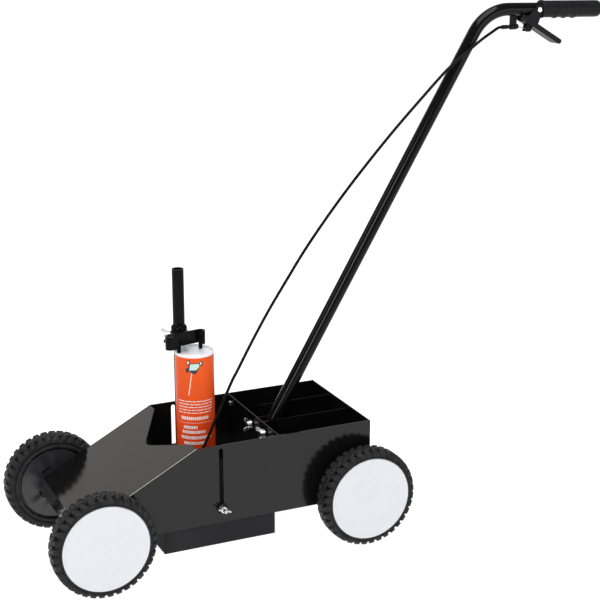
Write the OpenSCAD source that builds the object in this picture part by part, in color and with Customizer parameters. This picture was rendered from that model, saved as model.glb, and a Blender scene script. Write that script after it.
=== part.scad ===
// Walk-behind line striping machine: a sheet-steel box on four wheels that carries
// an upside-down paint can, sprayed by a cable from a brake lever on the handle.
// Millimetres. X runs from the front wheels (-X) to the grip (+X), +Z is up, and the
// origin is on the ground below the middle of the whole machine.

/* [Overall] */
// Length from the front tyres to the end of the grip
overall_l = 1069; // [1000:1:1240]
// Distance between the two axles
wheelbase = 460; // [430:1:540]
// Height of the handle's level top run above the ground
handle_h = 867; // [760:1:1040]
// Lean of the handle tube back from upright, in degrees
handle_lean = 30.5; // [27:0.5:32]

/* [Box] */
// Outside width of the box
box_w = 227; // [200:1:280]
// Height of the box rim above the ground
box_top = 205.5; // [190:1:240]
// Height of the lower edge of the side panels above the ground
box_bottom = 70; // [60:1:78]
// Length of the sloping hood along the ground
hood_l = 195; // [180:1:215]
// Height that the hood falls from the rim to the front panel
hood_drop = 103; // [90:1:112]
// Length of the open well for the can, from the hood to the bulkhead
well_l = 143.5; // [138:0.5:170]
// Thickness of the sheet steel
sheet = 2; // [1.5:0.25:2.5]
// Half-width of the sight notch where it opens at the hood's top edge
notch_half_w = 90; // [70:1:95]
// Depth of the sight notch along the ground
notch_depth = 45.5; // [30:0.5:70]

/* [Wheels] */
// Outside diameter of the tyres
wheel_d = 170; // [155:1:180]
// Width of a wheel
wheel_w = 40.6; // [34:0.2:46]
// Diameter of the two axles
axle_d = 10; // [8:1:12]
// Diameter of the white wheel covers
cover_d = 142; // [134:1:146]

/* [Paint can] */
// Diameter of the paint can
can_d = 65; // [57:1:66]
// Height of the can's upturned base above the ground
can_top = 333.6; // [300:1:360]
// Height that the cradle can be raised in its slots
lift_travel = 100; // [60:1:100]

/* [Mast and retainer] */
// Diameter of the mast beside the can
mast_d = 20; // [16:1:21]
// Height of the top of the mast
mast_top = 463; // [430:1:520]
// Angle of the retainer round the mast, in degrees
retainer_yaw = 10; // [0:1:20]

/* [Handle] */
// Outside diameter of the handle tube
tube_d = 22; // [20:1:25]
// Radius of the bend in the handle tube
bend_r = 75; // [60:1:100]
// Length of the rubber grip
grip_l = 124; // [100:1:150]
// Outside diameter of the grip
grip_d = 29; // [28:1:34]

/* [Hidden] */
$fn = 64;
eps = 0.01;

// Clearances: a turning fit, a seat between fixed pieces, and a free gap
run_gap = 0.06;
seat_gap = 0.1;
free_gap = 0.3;

// Stations along the machine
front_axle_x = -overall_l / 2 + wheel_d / 2;
rear_axle_x = front_axle_x + wheelbase;
axle_z = wheel_d / 2;
front_x = front_axle_x - 25.5;
hood_x = front_x + hood_l;
bulkhead_x = hood_x + well_l;
rear_x = rear_axle_x + 22;
can_x = hood_x + 41.5;
grip_end_x = overall_l / 2;

// Widths
panel_y = box_w / 2;
inside_y = panel_y - sheet;
wheel_mid_y = panel_y + 8.3 + wheel_w / 2;

// Slots for the cradle's studs
stud_r = 3;
slot_r = 3.5;
slot_low_z = 96;
slot_high_z = slot_low_z + lift_travel;

// Storage behind the bulkhead
floor_z = axle_z + 11;
divider_y = 38;
divider_front_x = bulkhead_x + 28;

// Spray skirt
skirt_front_x = can_x - 99.5;
skirt_rear_x = can_x + 95.5;
skirt_low_z = 31.7;
skirt_high_z = box_bottom + 13;

// Cradle under the can
can_r = can_d / 2;
plate_top_z = 128;
cradle_half_l = 38;
cradle_y = inside_y - 1;
shoulder_top_z = plate_top_z + 17;
shoulder_h = 19;
cup_bead_r = 16.5;
ferrule_x = can_x - 19;
ferrule_y = -42;
ferrule_top_z = 140;
pivot_x = can_x + 18;
pivot_z = 97;
pin_r = 2;

// Mast and retainer
mast_x = can_x - 10;
mast_y = sqrt(pow(can_r + mast_d / 2 + 2.56, 2) - 100);
mast_r = mast_d / 2;
band_h = 23;
band_low_z = can_top + 6.4;
band_reach = 31;

// Handle
tube_r = tube_d / 2;
top_tilt = 1.6;
foot_ref_x = bulkhead_x + 48.8;
elbow_x = foot_ref_x + (handle_h + 1 - box_top) * tan(handle_lean);
elbow_z = handle_h + 1;
bend_turn = 90 + top_tilt - handle_lean;
tangent_l = bend_r * tan(bend_turn / 2);
tube_low_z = 150;
tube_low_x = foot_ref_x - (box_top - tube_low_z) * tan(handle_lean);
grip_start_x = grip_end_x - grip_l;

// Brake lever
lever_x = grip_start_x - 9;
lever_z = elbow_z - (lever_x - elbow_x) * tan(top_tilt);
cheek_y = tube_r + 0.6;
blade_angle = -30.5;
nipple_x = lever_x - 15.7;
nipple_z = lever_z - 32.5;
post_x = lever_x - 44;
adjuster_z = handle_h - 30;
adjuster_front_x = lever_x - 66;
adjuster_l = 32;
wire_r = 0.8;
nipple_r = 3.4;

// Route of the cable's sheath from the ferrule at the cradle to the adjuster
sheath_r = 2.5;
route_low = [-257, -42, 140];
route_high = [335, 0, 837];
cable_route = [
    [-257, -42, 140], [-256, -42, 148], [-249, -42, 164], [-236, -42, 187], [-193, -42, 277],
    [-179, -42, 302],
    [-151, -41, 350], [-121, -40, 398], [-88, -38, 445], [-54, -36, 492], [-16, -34, 539],
    [24, -32, 585], [68, -30, 632], [114, -27, 678], [164, -24, 725], [216, -21, 772],
    [250, -19, 796], [285, -14, 818], [312, -6, 830], [327, -1, 836], [335, 0, 837]];

// Colours
black_coat = [0.09, 0.09, 0.1];
black_plastic = [0.06, 0.06, 0.06];
zinc = [0.75, 0.76, 0.78];
label_orange = [0.86, 0.3, 0.13];

// ---------- shared shapes ----------

// Extrudes an outline drawn in X and Z between two Y positions
module side_plate(y0, y1) {
    translate([0, y1, 0]) rotate([90, 0, 0]) linear_extrude(y1 - y0) children();
}

// Cylinder along Y between two Y positions
module y_rod(r, y0, y1, x, z) {
    translate([x, y1, z]) rotate([90, 0, 0]) cylinder(r = r, h = y1 - y0);
}

// Ring along Y between two Y positions
module y_ring(r_in, r_out, y0, y1, x, z) {
    difference() {
        y_rod(r_out, y0, y1, x, z);
        y_rod(r_in, y0 - 1, y1 + 1, x, z);
    }
}

// Wing nut that opens along +Z, with its seat at z = 0
module wing_nut(bore_r) {
    difference() {
        union() {
            cylinder(r1 = bore_r + 4, r2 = bore_r + 2.4, h = 8);
            for (side = [-1, 1])
                translate([0, 1.2, 0]) rotate([90, 0, 0]) linear_extrude(2.4) union() {
                    polygon([[side * (bore_r + 0.8), 1.5], [side * (bore_r + 3.5), 1.5],
                             [side * 11.6, 8.2], [side * 9, 13.2], [side * (bore_r + 0.8), 7.5]]);
                    translate([side * 9.6, 10.4]) circle(r = 2.9);
                }
        }
        translate([0, 0, -1]) cylinder(r = bore_r, h = 20);
    }
}

// ---------- box ----------

module side_panel_outline() {
    polygon([[front_x, box_bottom], [front_x, box_top - hood_drop], [hood_x, box_top],
             [rear_x, box_top], [rear_x, box_bottom]]);
}

module side_panel(y0) {
    y1 = y0 + sheet;
    color(black_coat) difference() {
        side_plate(y0, y1) side_panel_outline();
        y_rod(slot_r, y0 - 1, y1 + 1, can_x, slot_low_z);
        y_rod(slot_r, y0 - 1, y1 + 1, can_x, slot_high_z);
        translate([can_x - slot_r, y0 - 1, slot_low_z])
            cube([2 * slot_r, sheet + 2, lift_travel]);
        y_rod(axle_d / 2 + seat_gap, y0 - 1, y1 + 1, front_axle_x, axle_z);
        y_rod(axle_d / 2 + seat_gap, y0 - 1, y1 + 1, rear_axle_x, axle_z);
    }
}

module left_side_panel() { side_panel(-panel_y); }
module right_side_panel() { side_panel(panel_y - sheet); }

// Sight notch in plan: a wide V with a blunt, rounded point
module notch_outline() {
    tip_x = hood_x - notch_depth;
    open_y = notch_half_w * (notch_depth + 3) / notch_depth;
    polygon([[hood_x + 3, open_y], [tip_x + 2.6, 11], [tip_x + 0.8, 7], [tip_x, 3],
             [tip_x, -3], [tip_x + 0.8, -7], [tip_x + 2.6, -11], [hood_x + 3, -open_y]]);
}

module hood() {
    rise = hood_drop / hood_l;
    inset = sheet * sqrt(1 + rise * rise);
    nose_z = box_top - hood_drop;
    color(black_coat) difference() {
        side_plate(-inside_y, inside_y)
            polygon([[front_x, box_bottom], [front_x, nose_z], [hood_x, box_top],
                     [hood_x, box_top - inset], [front_x + sheet, nose_z + sheet * rise - inset],
                     [front_x + sheet, box_bottom]]);
        translate([0, 0, nose_z]) linear_extrude(hood_drop + 10) notch_outline();
    }
}

module rear_panel() {
    color(black_coat) translate([rear_x - sheet, -inside_y, box_bottom])
        cube([sheet, 2 * inside_y, box_top - box_bottom]);
}

// Places of the two handle-foot bolts and the two flange bolts on the bulkhead
foot_bolt_near = [-58, 190];
foot_bolt_far = [-1, 187];
flange_bolt_y = inside_y - 17;
flange_bolt_z = box_top - 13;

module bulkhead() {
    color(black_coat) difference() {
        union() {
            translate([bulkhead_x, -inside_y, box_bottom])
                cube([sheet, 2 * inside_y, box_top - box_bottom]);
            for (side = [-1, 1])
                translate([bulkhead_x, side * (inside_y - sheet / 2) - sheet / 2, box_bottom])
                    cube([16, sheet, box_top - box_bottom - 6]);
        }
        for (p = [foot_bolt_near, foot_bolt_far])
            translate([bulkhead_x - 1, p[0], p[1]]) rotate([0, 90, 0]) cylinder(r = 3.2, h = sheet + 2);
        for (side = [-1, 1])
            translate([bulkhead_x - 1, side * flange_bolt_y, flange_bolt_z])
                rotate([0, 90, 0]) cylinder(r = 2.6, h = sheet + 2);
    }
}

module divider(y) {
    color(black_coat) translate([divider_front_x, y - sheet / 2, floor_z + sheet])
        cube([rear_x - sheet - divider_front_x, sheet, box_top - 2 - floor_z - sheet]);
}

module left_divider() { divider(-divider_y); }
module right_divider() { divider(divider_y); }

module storage_floor() {
    color(black_coat) translate([bulkhead_x + sheet, -inside_y + sheet, floor_z])
        cube([rear_x - 2 * sheet - bulkhead_x, 2 * (inside_y - sheet), sheet]);
}

module spray_skirt() {
    color(black_coat) difference() {
        translate([skirt_front_x, -inside_y, skirt_low_z])
            cube([skirt_rear_x - skirt_front_x, 2 * inside_y, skirt_high_z - skirt_low_z]);
        translate([skirt_front_x + sheet, -inside_y + sheet, skirt_low_z - 1])
            cube([skirt_rear_x - skirt_front_x - 2 * sheet, 2 * (inside_y - sheet),
                  skirt_high_z - skirt_low_z + 2]);
    }
}

// Hexagon bolts that hold the bulkhead's stiffening angle, with their nuts behind
module panel_bolts() {
    color(zinc) for (side = [-1, 1])
        translate([bulkhead_x, side * flange_bolt_y, flange_bolt_z]) rotate([0, 90, 0]) {
            translate([0, 0, -3.5]) cylinder(r = 4.6, h = 3.5, $fn = 6);
            translate([0, 0, -3.5]) cylinder(r = 2.5, h = sheet + 9);
            translate([0, 0, sheet]) cylinder(r = 4.6, h = 4, $fn = 6);
        }
}

// ---------- axles and wheels ----------

module axle(x) {
    reach = wheel_mid_y + wheel_w / 2 - 2.8;
    color(zinc) y_rod(axle_d / 2, -reach, reach, x, axle_z);
}

module front_axle() { axle(front_axle_x); }
module rear_axle() { axle(rear_axle_x); }

// Ring on each of the four axle ends, between two distances from the middle plane
module axle_rings(r_in, r_out, near, far) {
    for (x = [front_axle_x, rear_axle_x]) {
        y_ring(r_in, r_out, near, far, x, axle_z);
        y_ring(r_in, r_out, -far, -near, x, axle_z);
    }
}

module axle_bushes() {
    color(black_plastic)
        axle_rings(axle_d / 2 + seat_gap, axle_d / 2 + 3, inside_y - 10, inside_y);
}

hub_in = 26;
hub_out = 14;

module wheel_spacers() {
    color(zinc) axle_rings(axle_d / 2 + seat_gap, axle_d / 2 + 4.5, panel_y,
                           wheel_mid_y - hub_in * wheel_w / 40.6 - free_gap);
}

module push_nuts() {
    near = wheel_mid_y + hub_out + free_gap;
    color(zinc) axle_rings(axle_d / 2, axle_d / 2 + 4, near, near + 1.6);
}

// Puts a wheel piece, drawn with its outer face along +Z, on one axle end
module on_axle(x, side) {
    translate([x, side * wheel_mid_y, axle_z]) rotate([-90 * side, 0, 0]) children();
}

tread_r = wheel_d / 2;
seat_r = tread_r - 25;
cover_r = cover_d / 2;
half_w = wheel_w / 2;

module tyre() {
    color(black_plastic) difference() {
        rotate_extrude($fn = 96) polygon([
            [seat_r, 1.3 - half_w], [seat_r, half_w - 2.8], [cover_r + 0.5, half_w - 2.8],
            [cover_r + 0.5, half_w - 0.4], [tread_r - 7, half_w], [tread_r - 2, half_w - 3.5],
            [tread_r, half_w - 8], [tread_r, 8 - half_w], [tread_r - 2, 3.5 - half_w],
            [tread_r - 7, -half_w], [seat_r + 7, -half_w], [seat_r + 5, 1.3 - half_w]]);
        for (z = [-5, 5])
            translate([0, 0, z - 1]) difference() {
                cylinder(r = tread_r + 1, h = 2);
                translate([0, 0, -1]) cylinder(r = tread_r - 2.5, h = 4);
            }
    }
}

module rim() {
    hub_r = axle_d / 2 + 8;
    barrel_in = seat_r - 4;
    color(black_plastic) {
        rotate_extrude($fn = 96) polygon([
            [axle_d / 2 + run_gap, -hub_in * wheel_w / 40.6], [axle_d / 2 + run_gap, hub_out],
            [hub_r, hub_out], [hub_r, 4], [barrel_in, -8], [barrel_in, half_w - 3.4],
            [seat_r - seat_gap, half_w - 3.4], [seat_r - seat_gap, 1.2 - half_w],
            [seat_r + 4.5, 1.2 - half_w], [seat_r + 4.5, -half_w + 0.2],
            [barrel_in, -half_w + 0.2], [barrel_in - 1, -12], [hub_r + 1, 0.5],
            [hub_r - 1, -hub_in * wheel_w / 40.6]]);
        for (a = [0 : 45 : 315])
            rotate([0, 0, a]) translate([0, 1.2, 0]) rotate([90, 0, 0]) linear_extrude(2.4)
                polygon([[hub_r - 2, -14], [barrel_in - 0.5, -14], [barrel_in + 1, -10.5],
                         [hub_r - 2, 1.5]]);
    }
}

module cover() {
    skin = 1.6;
    color("white") rotate_extrude($fn = 96) polygon([
        [0, half_w - 0.9 - skin], [0, half_w - 0.9], [4.4, half_w - 0.9], [5, half_w - 0.3],
        [6.2, half_w - 0.3], [7, half_w - 0.9], [cover_r - 7, half_w - 0.9],
        [cover_r - 3, half_w], [cover_r - 1, half_w], [cover_r, half_w - 1.2],
        [cover_r, half_w - 2.6], [cover_r - 3, half_w - 2.6], [cover_r - 7.4, half_w - 0.9 - skin],
        [seat_r - 4.4, half_w - 0.9 - skin], [seat_r - 4.4, half_w - 10],
        [seat_r - 6, half_w - 10], [seat_r - 6, half_w - 0.9 - skin]]);
}

module front_left_tyre() { on_axle(front_axle_x, -1) tyre(); }
module front_left_rim() { on_axle(front_axle_x, -1) rim(); }
module front_left_cover() { on_axle(front_axle_x, -1) cover(); }
module front_right_tyre() { on_axle(front_axle_x, 1) tyre(); }
module front_right_rim() { on_axle(front_axle_x, 1) rim(); }
module front_right_cover() { on_axle(front_axle_x, 1) cover(); }
module rear_left_tyre() { on_axle(rear_axle_x, -1) tyre(); }
module rear_left_rim() { on_axle(rear_axle_x, -1) rim(); }
module rear_left_cover() { on_axle(rear_axle_x, -1) cover(); }
module rear_right_tyre() { on_axle(rear_axle_x, 1) tyre(); }
module rear_right_rim() { on_axle(rear_axle_x, 1) rim(); }
module rear_right_cover() { on_axle(rear_axle_x, 1) cover(); }

// ---------- cradle, can and mast ----------

// Radius of the can's shoulder at a height
function shoulder_r(z) = cup_bead_r
    + (can_r - cup_bead_r) * sqrt(1 - pow((shoulder_top_z - z) / shoulder_h, 2));

module can_cradle() {
    flange_low_z = skirt_high_z + 1.5;
    flange_half_l = 30;
    ear_y = 14;
    color(black_coat) difference() {
        union() {
            translate([can_x - cradle_half_l, -cradle_y, plate_top_z - sheet])
                cube([2 * cradle_half_l, 2 * cradle_y, sheet]);
            for (side = [-1, 1])
                translate([can_x - flange_half_l, side * (cradle_y - sheet / 2) - sheet / 2, flange_low_z])
                    cube([2 * flange_half_l, sheet, plate_top_z - flange_low_z - eps]);
            for (side = [-1, 1])
                translate([pivot_x - 6, side * (ear_y + 1) - 1, pivot_z - 6])
                    cube([12, 2, plate_top_z - sheet / 2 - pivot_z + 6]);
        }
        translate([can_x, 0, plate_top_z - sheet - 1])
            cylinder(r = shoulder_r(plate_top_z) + free_gap, h = sheet + 2);
        translate([ferrule_x, ferrule_y, plate_top_z - sheet - 1]) cylinder(r = 3.1, h = sheet + 2);
        y_rod(pin_r + seat_gap, -ear_y - 3, ear_y + 3, pivot_x, pivot_z);
        y_rod(stud_r + seat_gap, -panel_y, panel_y, can_x, slot_low_z);
    }
}

module can_cup() {
    color(black_coat) translate([can_x, 0, plate_top_z]) difference() {
        cylinder(r = can_r + 1.9, h = 28);
        translate([0, 0, -1]) cylinder(r = can_r + free_gap, h = 30);
    }
}

module mast() {
    color(black_coat) translate([mast_x, mast_y, plate_top_z]) difference() {
        cylinder(r = mast_r, h = mast_top - plate_top_z);
        translate([0, 0, 3]) cylinder(r = mast_r - 1.5, h = mast_top - plate_top_z);
    }
}

module cradle_studs() {
    color(zinc) for (side = [-1, 1]) {
        inner = cradle_y - sheet;
        y_rod(stud_r, side > 0 ? inner - 3 : -panel_y - 19, side > 0 ? panel_y + 19 : -inner + 3,
              can_x, slot_low_z);
        translate([can_x, side * (inner - 2), slot_low_z]) rotate([90, 0, 0])
            cylinder(r = 5.6, h = 4, center = true, $fn = 6);
    }
}

module stud_washers() {
    color(zinc) for (side = [-1, 1])
        y_ring(stud_r + seat_gap, 9, side > 0 ? panel_y + free_gap : -panel_y - free_gap - 1.6,
               side > 0 ? panel_y + free_gap + 1.6 : -panel_y - free_gap, can_x, slot_low_z);
}

// Wing nut on one of the cradle's studs, its wings turned down towards the rear
module side_wing_nut(side) {
    color(zinc) translate([can_x, side * (panel_y + 2 * free_gap + 1.6), slot_low_z])
        rotate([-90 * side, 0, 0]) rotate([0, 0, -26 * side]) wing_nut(stud_r + run_gap);
}

module left_wing_nut() { side_wing_nut(-1); }
module right_wing_nut() { side_wing_nut(1); }

// Puts a piece drawn round the mast, with -Y towards the can, in its turned position
module on_mast() {
    translate([mast_x, mast_y, 0]) rotate([0, 0, retainer_yaw]) children();
}

screw_z = band_low_z + 12;

module retainer_collar() {
    color(black_coat) on_mast() difference() {
        union() {
            translate([0, 0, band_low_z + 1]) cylinder(r = mast_r + 3.5, h = band_h - 1);
            translate([0, 0, band_low_z + band_h]) cylinder(r1 = mast_r + 3.5, r2 = mast_r + 1.5, h = 3);
            translate([-6, -band_reach + 1.25, band_low_z + 3]) cube([12, band_reach - mast_r - 1, band_h - 6]);
            translate([0, 0, screw_z]) rotate([0, -90, 0]) cylinder(r = 5.5, h = mast_r + 8);
        }
        translate([0, 0, band_low_z - 5]) cylinder(r = mast_r + run_gap, h = band_h + 15);
        translate([0, 0, screw_z]) rotate([0, -90, 0]) cylinder(r = 2.5 + run_gap, h = mast_r + 20);
    }
}

// C-shaped band in plan, with a rolled end on each side, and two feet for the can's base
module retainer_band() {
    t = 2.5;
    curl_r = 8;
    left_u = -39;
    right_u = 19;
    return_l = 11;
    near_v = -band_reach - t / 2;
    foot_mid = 2;
    foot_spread = can_r - 12;
    color(black_coat) on_mast() {
        translate([0, 0, band_low_z]) linear_extrude(band_h) {
            translate([left_u, near_v]) square([right_u - left_u, t]);
            for (end = [[left_u, 90], [right_u, -90]])
                translate([end[0], near_v + t - curl_r]) intersection() {
                    difference() {
                        circle(r = curl_r);
                        circle(r = curl_r - t);
                    }
                    rotate(end[1]) translate([-20, 0]) square([40, 20]);
                }
            translate([left_u, near_v + t - 2 * curl_r]) square([return_l, t]);
        }
        for (u = [foot_mid - foot_spread, foot_mid + foot_spread])
            translate([u - 3, near_v, can_top - 5.2]) cube([6, t, 14]);
    }
}

module retainer_screw() {
    color(zinc) on_mast() translate([0, 0, screw_z]) rotate([0, -90, 0]) rotate([0, 0, 20]) {
        translate([0, 0, mast_r + free_gap]) cylinder(r = 2.5, h = 16);
        translate([0, 0, mast_r + 9]) wing_nut(2.4);
    }
}

module can_body() {
    wall = 0.8;
    color(label_orange) translate([can_x, 0, shoulder_top_z]) difference() {
        cylinder(r = can_r, h = can_top - 4.6 - shoulder_top_z, $fn = 96);
        translate([0, 0, -1]) cylinder(r = can_r - wall, h = can_top, $fn = 96);
    }
}

// Rolled rim and the sunk base that faces up while the can is in use
module can_base() {
    dip = 8;
    function sunk(r) = can_top - 4.6 - dip + dip * pow(r / (can_r - 2.5), 2);
    color("white") translate([can_x, 0, 0]) rotate_extrude($fn = 96) polygon(concat(
        [[can_r, can_top - 4.6], [can_r + 0.4, can_top - 4], [can_r + 0.4, can_top - 0.8],
         [can_r - 0.4, can_top], [can_r - 2, can_top - 0.6], [can_r - 2.5, can_top - 4.6]],
        [for (k = [5 : -1 : 0]) [(can_r - 2.5) * k / 6, sunk((can_r - 2.5) * k / 6)]],
        [for (k = [0 : 5]) [(can_r - 2.5) * k / 6, sunk((can_r - 2.5) * k / 6) - 0.8]],
        [[can_r - 2.5, can_top - 5.4], [can_r - 0.9, can_top - 5.4], [can_r - 0.9, can_top - 4.6]]));
}

module can_shoulder() {
    steps = 8;
    drop = function(k) shoulder_top_z - shoulder_h * sin(k * 90 / steps);
    out = function(k) cup_bead_r + (can_r - cup_bead_r) * cos(k * 90 / steps);
    color(zinc) translate([can_x, 0, 0]) rotate_extrude($fn = 96) polygon(concat(
        [for (k = [0 : steps]) [out(k), drop(k)]],
        [[cup_bead_r, drop(steps) + 0.9]],
        [for (k = [steps - 1 : -1 : 1]) [out(k) - 0.8, drop(k) + 0.6]],
        [[can_r - 0.8, shoulder_top_z]]));
}

valve_low_z = shoulder_top_z - shoulder_h;
actuator_stroke = 3.2;

module valve_cup() {
    color(zinc) translate([can_x, 0, 0]) {
        rotate_extrude() polygon([[0, valve_low_z - 4], [8, valve_low_z - 4], [9, valve_low_z - 1],
            [13, valve_low_z - 1], [14, valve_low_z - 5], [cup_bead_r, valve_low_z - 5],
            [cup_bead_r + 1, valve_low_z - 3], [cup_bead_r, valve_low_z], [0, valve_low_z]]);
        translate([0, 0, valve_low_z - 14]) cylinder(r = 2, h = 12);
    }
}

flange_z = pivot_z + 13;

module spray_actuator() {
    color("white") translate([can_x, 0, 0]) difference() {
        union() {
            translate([0, 0, flange_z]) cylinder(r = 11, h = 2);
            translate([0, 0, flange_z]) cylinder(r = 7, h = 6);
            translate([0, 0, flange_z - 6]) cylinder(r = 6, h = 7);
            translate([0, 0, flange_z - 10]) cylinder(r = 3, h = 5);
        }
        translate([0, 0, flange_z - 4]) cylinder(r = 2 + run_gap, h = 12);
        translate([0, 0, flange_z - 11]) cylinder(r = 0.8, h = 12);
    }
}

// Bell crank that the cable lifts: two rounded posts push the spray actuator up
module trigger_lever() {
    t = 2;
    tongue_x = can_x - 13;
    arm_x = ferrule_x - 9;
    low = pivot_z - 1;
    color(zinc) difference() {
        union() {
            translate([0, 0, low]) linear_extrude(t) polygon([
                [pivot_x - 2, -12.5], [pivot_x - 2, 12.5], [tongue_x, 12.5], [tongue_x - 2, -8],
                [arm_x, ferrule_y + 10], [arm_x, ferrule_y - 6], [ferrule_x + 7, ferrule_y - 6],
                [can_x - 6, -12.5]]);
            y_rod(4.5, -13.5, 13.5, pivot_x, pivot_z);
            for (side = [-1, 1]) {
                translate([can_x - 1.5, side * 8.9 - 1.4, low + t / 2])
                    cube([3, 2.8, flange_z - 2.3 - low - t / 2]);
                y_rod(1.5, side * 8.9 - 1.4, side * 8.9 + 1.4, can_x, flange_z - 2.3);
            }
        }
        y_rod(pin_r + run_gap, -20, 20, pivot_x, pivot_z);
        translate([can_x, 0, low - 1]) cylinder(r = 6.8, h = t + 2);
        translate([ferrule_x, ferrule_y, low - 1]) cylinder(r = 2.2, h = t + 2);
    }
}

module trigger_pin() {
    color(zinc) {
        y_rod(pin_r, -18, 18, pivot_x, pivot_z);
        y_rod(pin_r + 1.4, 16, 18, pivot_x, pivot_z);
        y_rod(pin_r + 1.4, -18, -16, pivot_x, pivot_z);
    }
}

module cable_clamp() {
    color(zinc) translate([ferrule_x, ferrule_y, pivot_z - 9]) {
        difference() {
            cylinder(r = 4, h = 8);
            translate([0, 0, -1]) cylinder(r = wire_r, h = 10);
        }
        translate([-3, 0, 4]) rotate([0, -90, 0]) cylinder(r = 2, h = 4);
    }
}

// ---------- cable ----------

// The nominal route, stretched so that its ends stay in the ferrule and the adjuster
route_from = [ferrule_x, ferrule_y, ferrule_top_z + free_gap];
route_to = [adjuster_front_x - free_gap, 0, adjuster_z];
function stretch(p) = [for (k = [0 : 2]) route_from[k]
    + (p[k] - route_low[k]) * (route_to[k] - route_from[k]) / (route_high[k] - route_low[k])];
function curve(a, b, c, d, t) = 0.5 * (2 * b + (c - a) * t + (2 * a - 5 * b + 4 * c - d) * t * t
    + (3 * b - a - 3 * c + d) * t * t * t);
function unit(v) = v / norm(v);

ring_steps = 3;
ring_sides = 8;
hand_route = [for (p = cable_route) stretch(p)];
route_n = len(hand_route);
centres = concat(
    [for (k = [0 : route_n - 2], s = [0 : ring_steps - 1])
        curve(hand_route[max(k - 1, 0)], hand_route[k], hand_route[k + 1],
              hand_route[min(k + 2, route_n - 1)], s / ring_steps)],
    [hand_route[route_n - 1]]);
ring_n = len(centres);

function heading(k) = unit(centres[min(k + 1, ring_n - 1)] - centres[max(k - 1, 0)]);

module cable_sheath() {
    points = [for (k = [0 : ring_n - 1])
        let (side = unit(cross([0, 1, 0], heading(k))), up = cross(heading(k), side))
        for (a = [0 : ring_sides - 1])
            centres[k] + sheath_r * (side * cos(a * 360 / ring_sides) + up * sin(a * 360 / ring_sides))];
    sides = [for (k = [0 : ring_n - 2], a = [0 : ring_sides - 1])
        let (b = (a + 1) % ring_sides, low = k * ring_sides, high = low + ring_sides)
        [low + a, high + a, high + b, low + b]];
    color(black_plastic) polyhedron(points,
        concat(sides, [[for (a = [0 : ring_sides - 1]) a],
                       [for (a = [ring_sides - 1 : -1 : 0]) (ring_n - 1) * ring_sides + a]]),
        convexity = 10);
}

module lower_ferrule() {
    color(zinc) translate([ferrule_x, ferrule_y, 0]) difference() {
        union() {
            translate([0, 0, plate_top_z - 6]) cylinder(r = 3, h = ferrule_top_z - plate_top_z + 5.5);
            translate([0, 0, plate_top_z]) cylinder(r = 5.5, h = 3, $fn = 6);
        }
        translate([0, 0, plate_top_z - 7]) cylinder(r = wire_r + 0.4, h = 30);
    }
}

module lower_wire() {
    color(zinc) translate([ferrule_x, ferrule_y, pivot_z - 12])
        cylinder(r = wire_r - 0.05, h = plate_top_z - pivot_z + 16);
}

// Straight wire from the adjuster to the nipple on the brake lever
module upper_wire() {
    wire_start = [adjuster_front_x + adjuster_l - 4, 0, adjuster_z];
    run = [nipple_x, 0, nipple_z] - wire_start;
    color(zinc) translate(wire_start) rotate([0, atan2(run[0], run[2]), 0])
        cylinder(r = wire_r, h = norm(run) - nipple_r - seat_gap);
}

module cable_nipple() {
    color(zinc) y_rod(nipple_r, -4, 4, nipple_x, nipple_z);
}

module cable_adjuster() {
    color(zinc) translate([adjuster_front_x, 0, adjuster_z]) rotate([0, 90, 0]) difference() {
        union() {
            cylinder(r = 3.6, h = 11);
            translate([0, 0, 10]) cylinder(r = 2.9, h = adjuster_l - 10);
            translate([0, 0, adjuster_l - 3.7]) cylinder(r = 4.4, h = 3.2, $fn = 6);
        }
        translate([0, 0, 2.5]) cylinder(r = wire_r + 0.7, h = adjuster_l);
    }
}

module cable_post() {
    post_top_z = elbow_z - (post_x - elbow_x) * tan(top_tilt) - tube_r;
    color(black_coat) difference() {
        union() {
            translate([post_x - 6, -2.5, adjuster_z + 3])
                cube([12, 5, post_top_z - adjuster_z - 1.5]);
            translate([post_x - 6, 0, adjuster_z]) rotate([0, 90, 0]) cylinder(r = 5, h = 12);
        }
        translate([post_x - 10, 0, adjuster_z]) rotate([0, 90, 0]) cylinder(r = 2.9 + run_gap, h = 20);
        handle_path(tube_r + 0.02);
    }
}

// ---------- handle ----------

// Solid rod along the handle's path, built round the centre of its bend. The leaning run
// is a hair thinner and reaches 1 mm into the bend, so that the two fuse cleanly.
module handle_path(r, top_cut = 0) {
    lean_l = (elbow_z - tube_low_z) / cos(handle_lean) - tangent_l;
    top_l = (grip_end_x - 5 - elbow_x) / cos(top_tilt) - tangent_l;
    translate([tube_low_x, 0, tube_low_z]) rotate([0, handle_lean, 0])
        translate([bend_r, 0, lean_l]) rotate([90, 0, 0]) rotate([0, 0, 180 - bend_turn]) {
            rotate_extrude(angle = bend_turn) translate([bend_r, 0]) circle(r = r);
            translate([bend_r, 0, 0]) rotate([90, 0, 0]) cylinder(r = r, h = top_l - top_cut);
            rotate([0, 0, bend_turn]) translate([bend_r, -1, 0]) rotate([-90, 0, 0])
                cylinder(r = r - 0.2, h = lean_l + 1);
        }
}

module handle_tube() {
    color(black_coat) difference() {
        handle_path(tube_r);
        handle_path(tube_r - 1.5, 2);
        y_rod(3.1, -20, 20, cross_bolt_x, cross_bolt_z);
        y_rod(2.5 + seat_gap, -20, 20, lever_x, lever_z);
    }
}

// Cheeks of the handle's foot, one each side of the tube, and the bolt through them
foot_cheek_y = tube_r + seat_gap;
foot_cheek_t = 2;
cross_bolt_z = 176;
cross_bolt_x = foot_ref_x - (box_top - cross_bolt_z) * tan(handle_lean);

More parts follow.
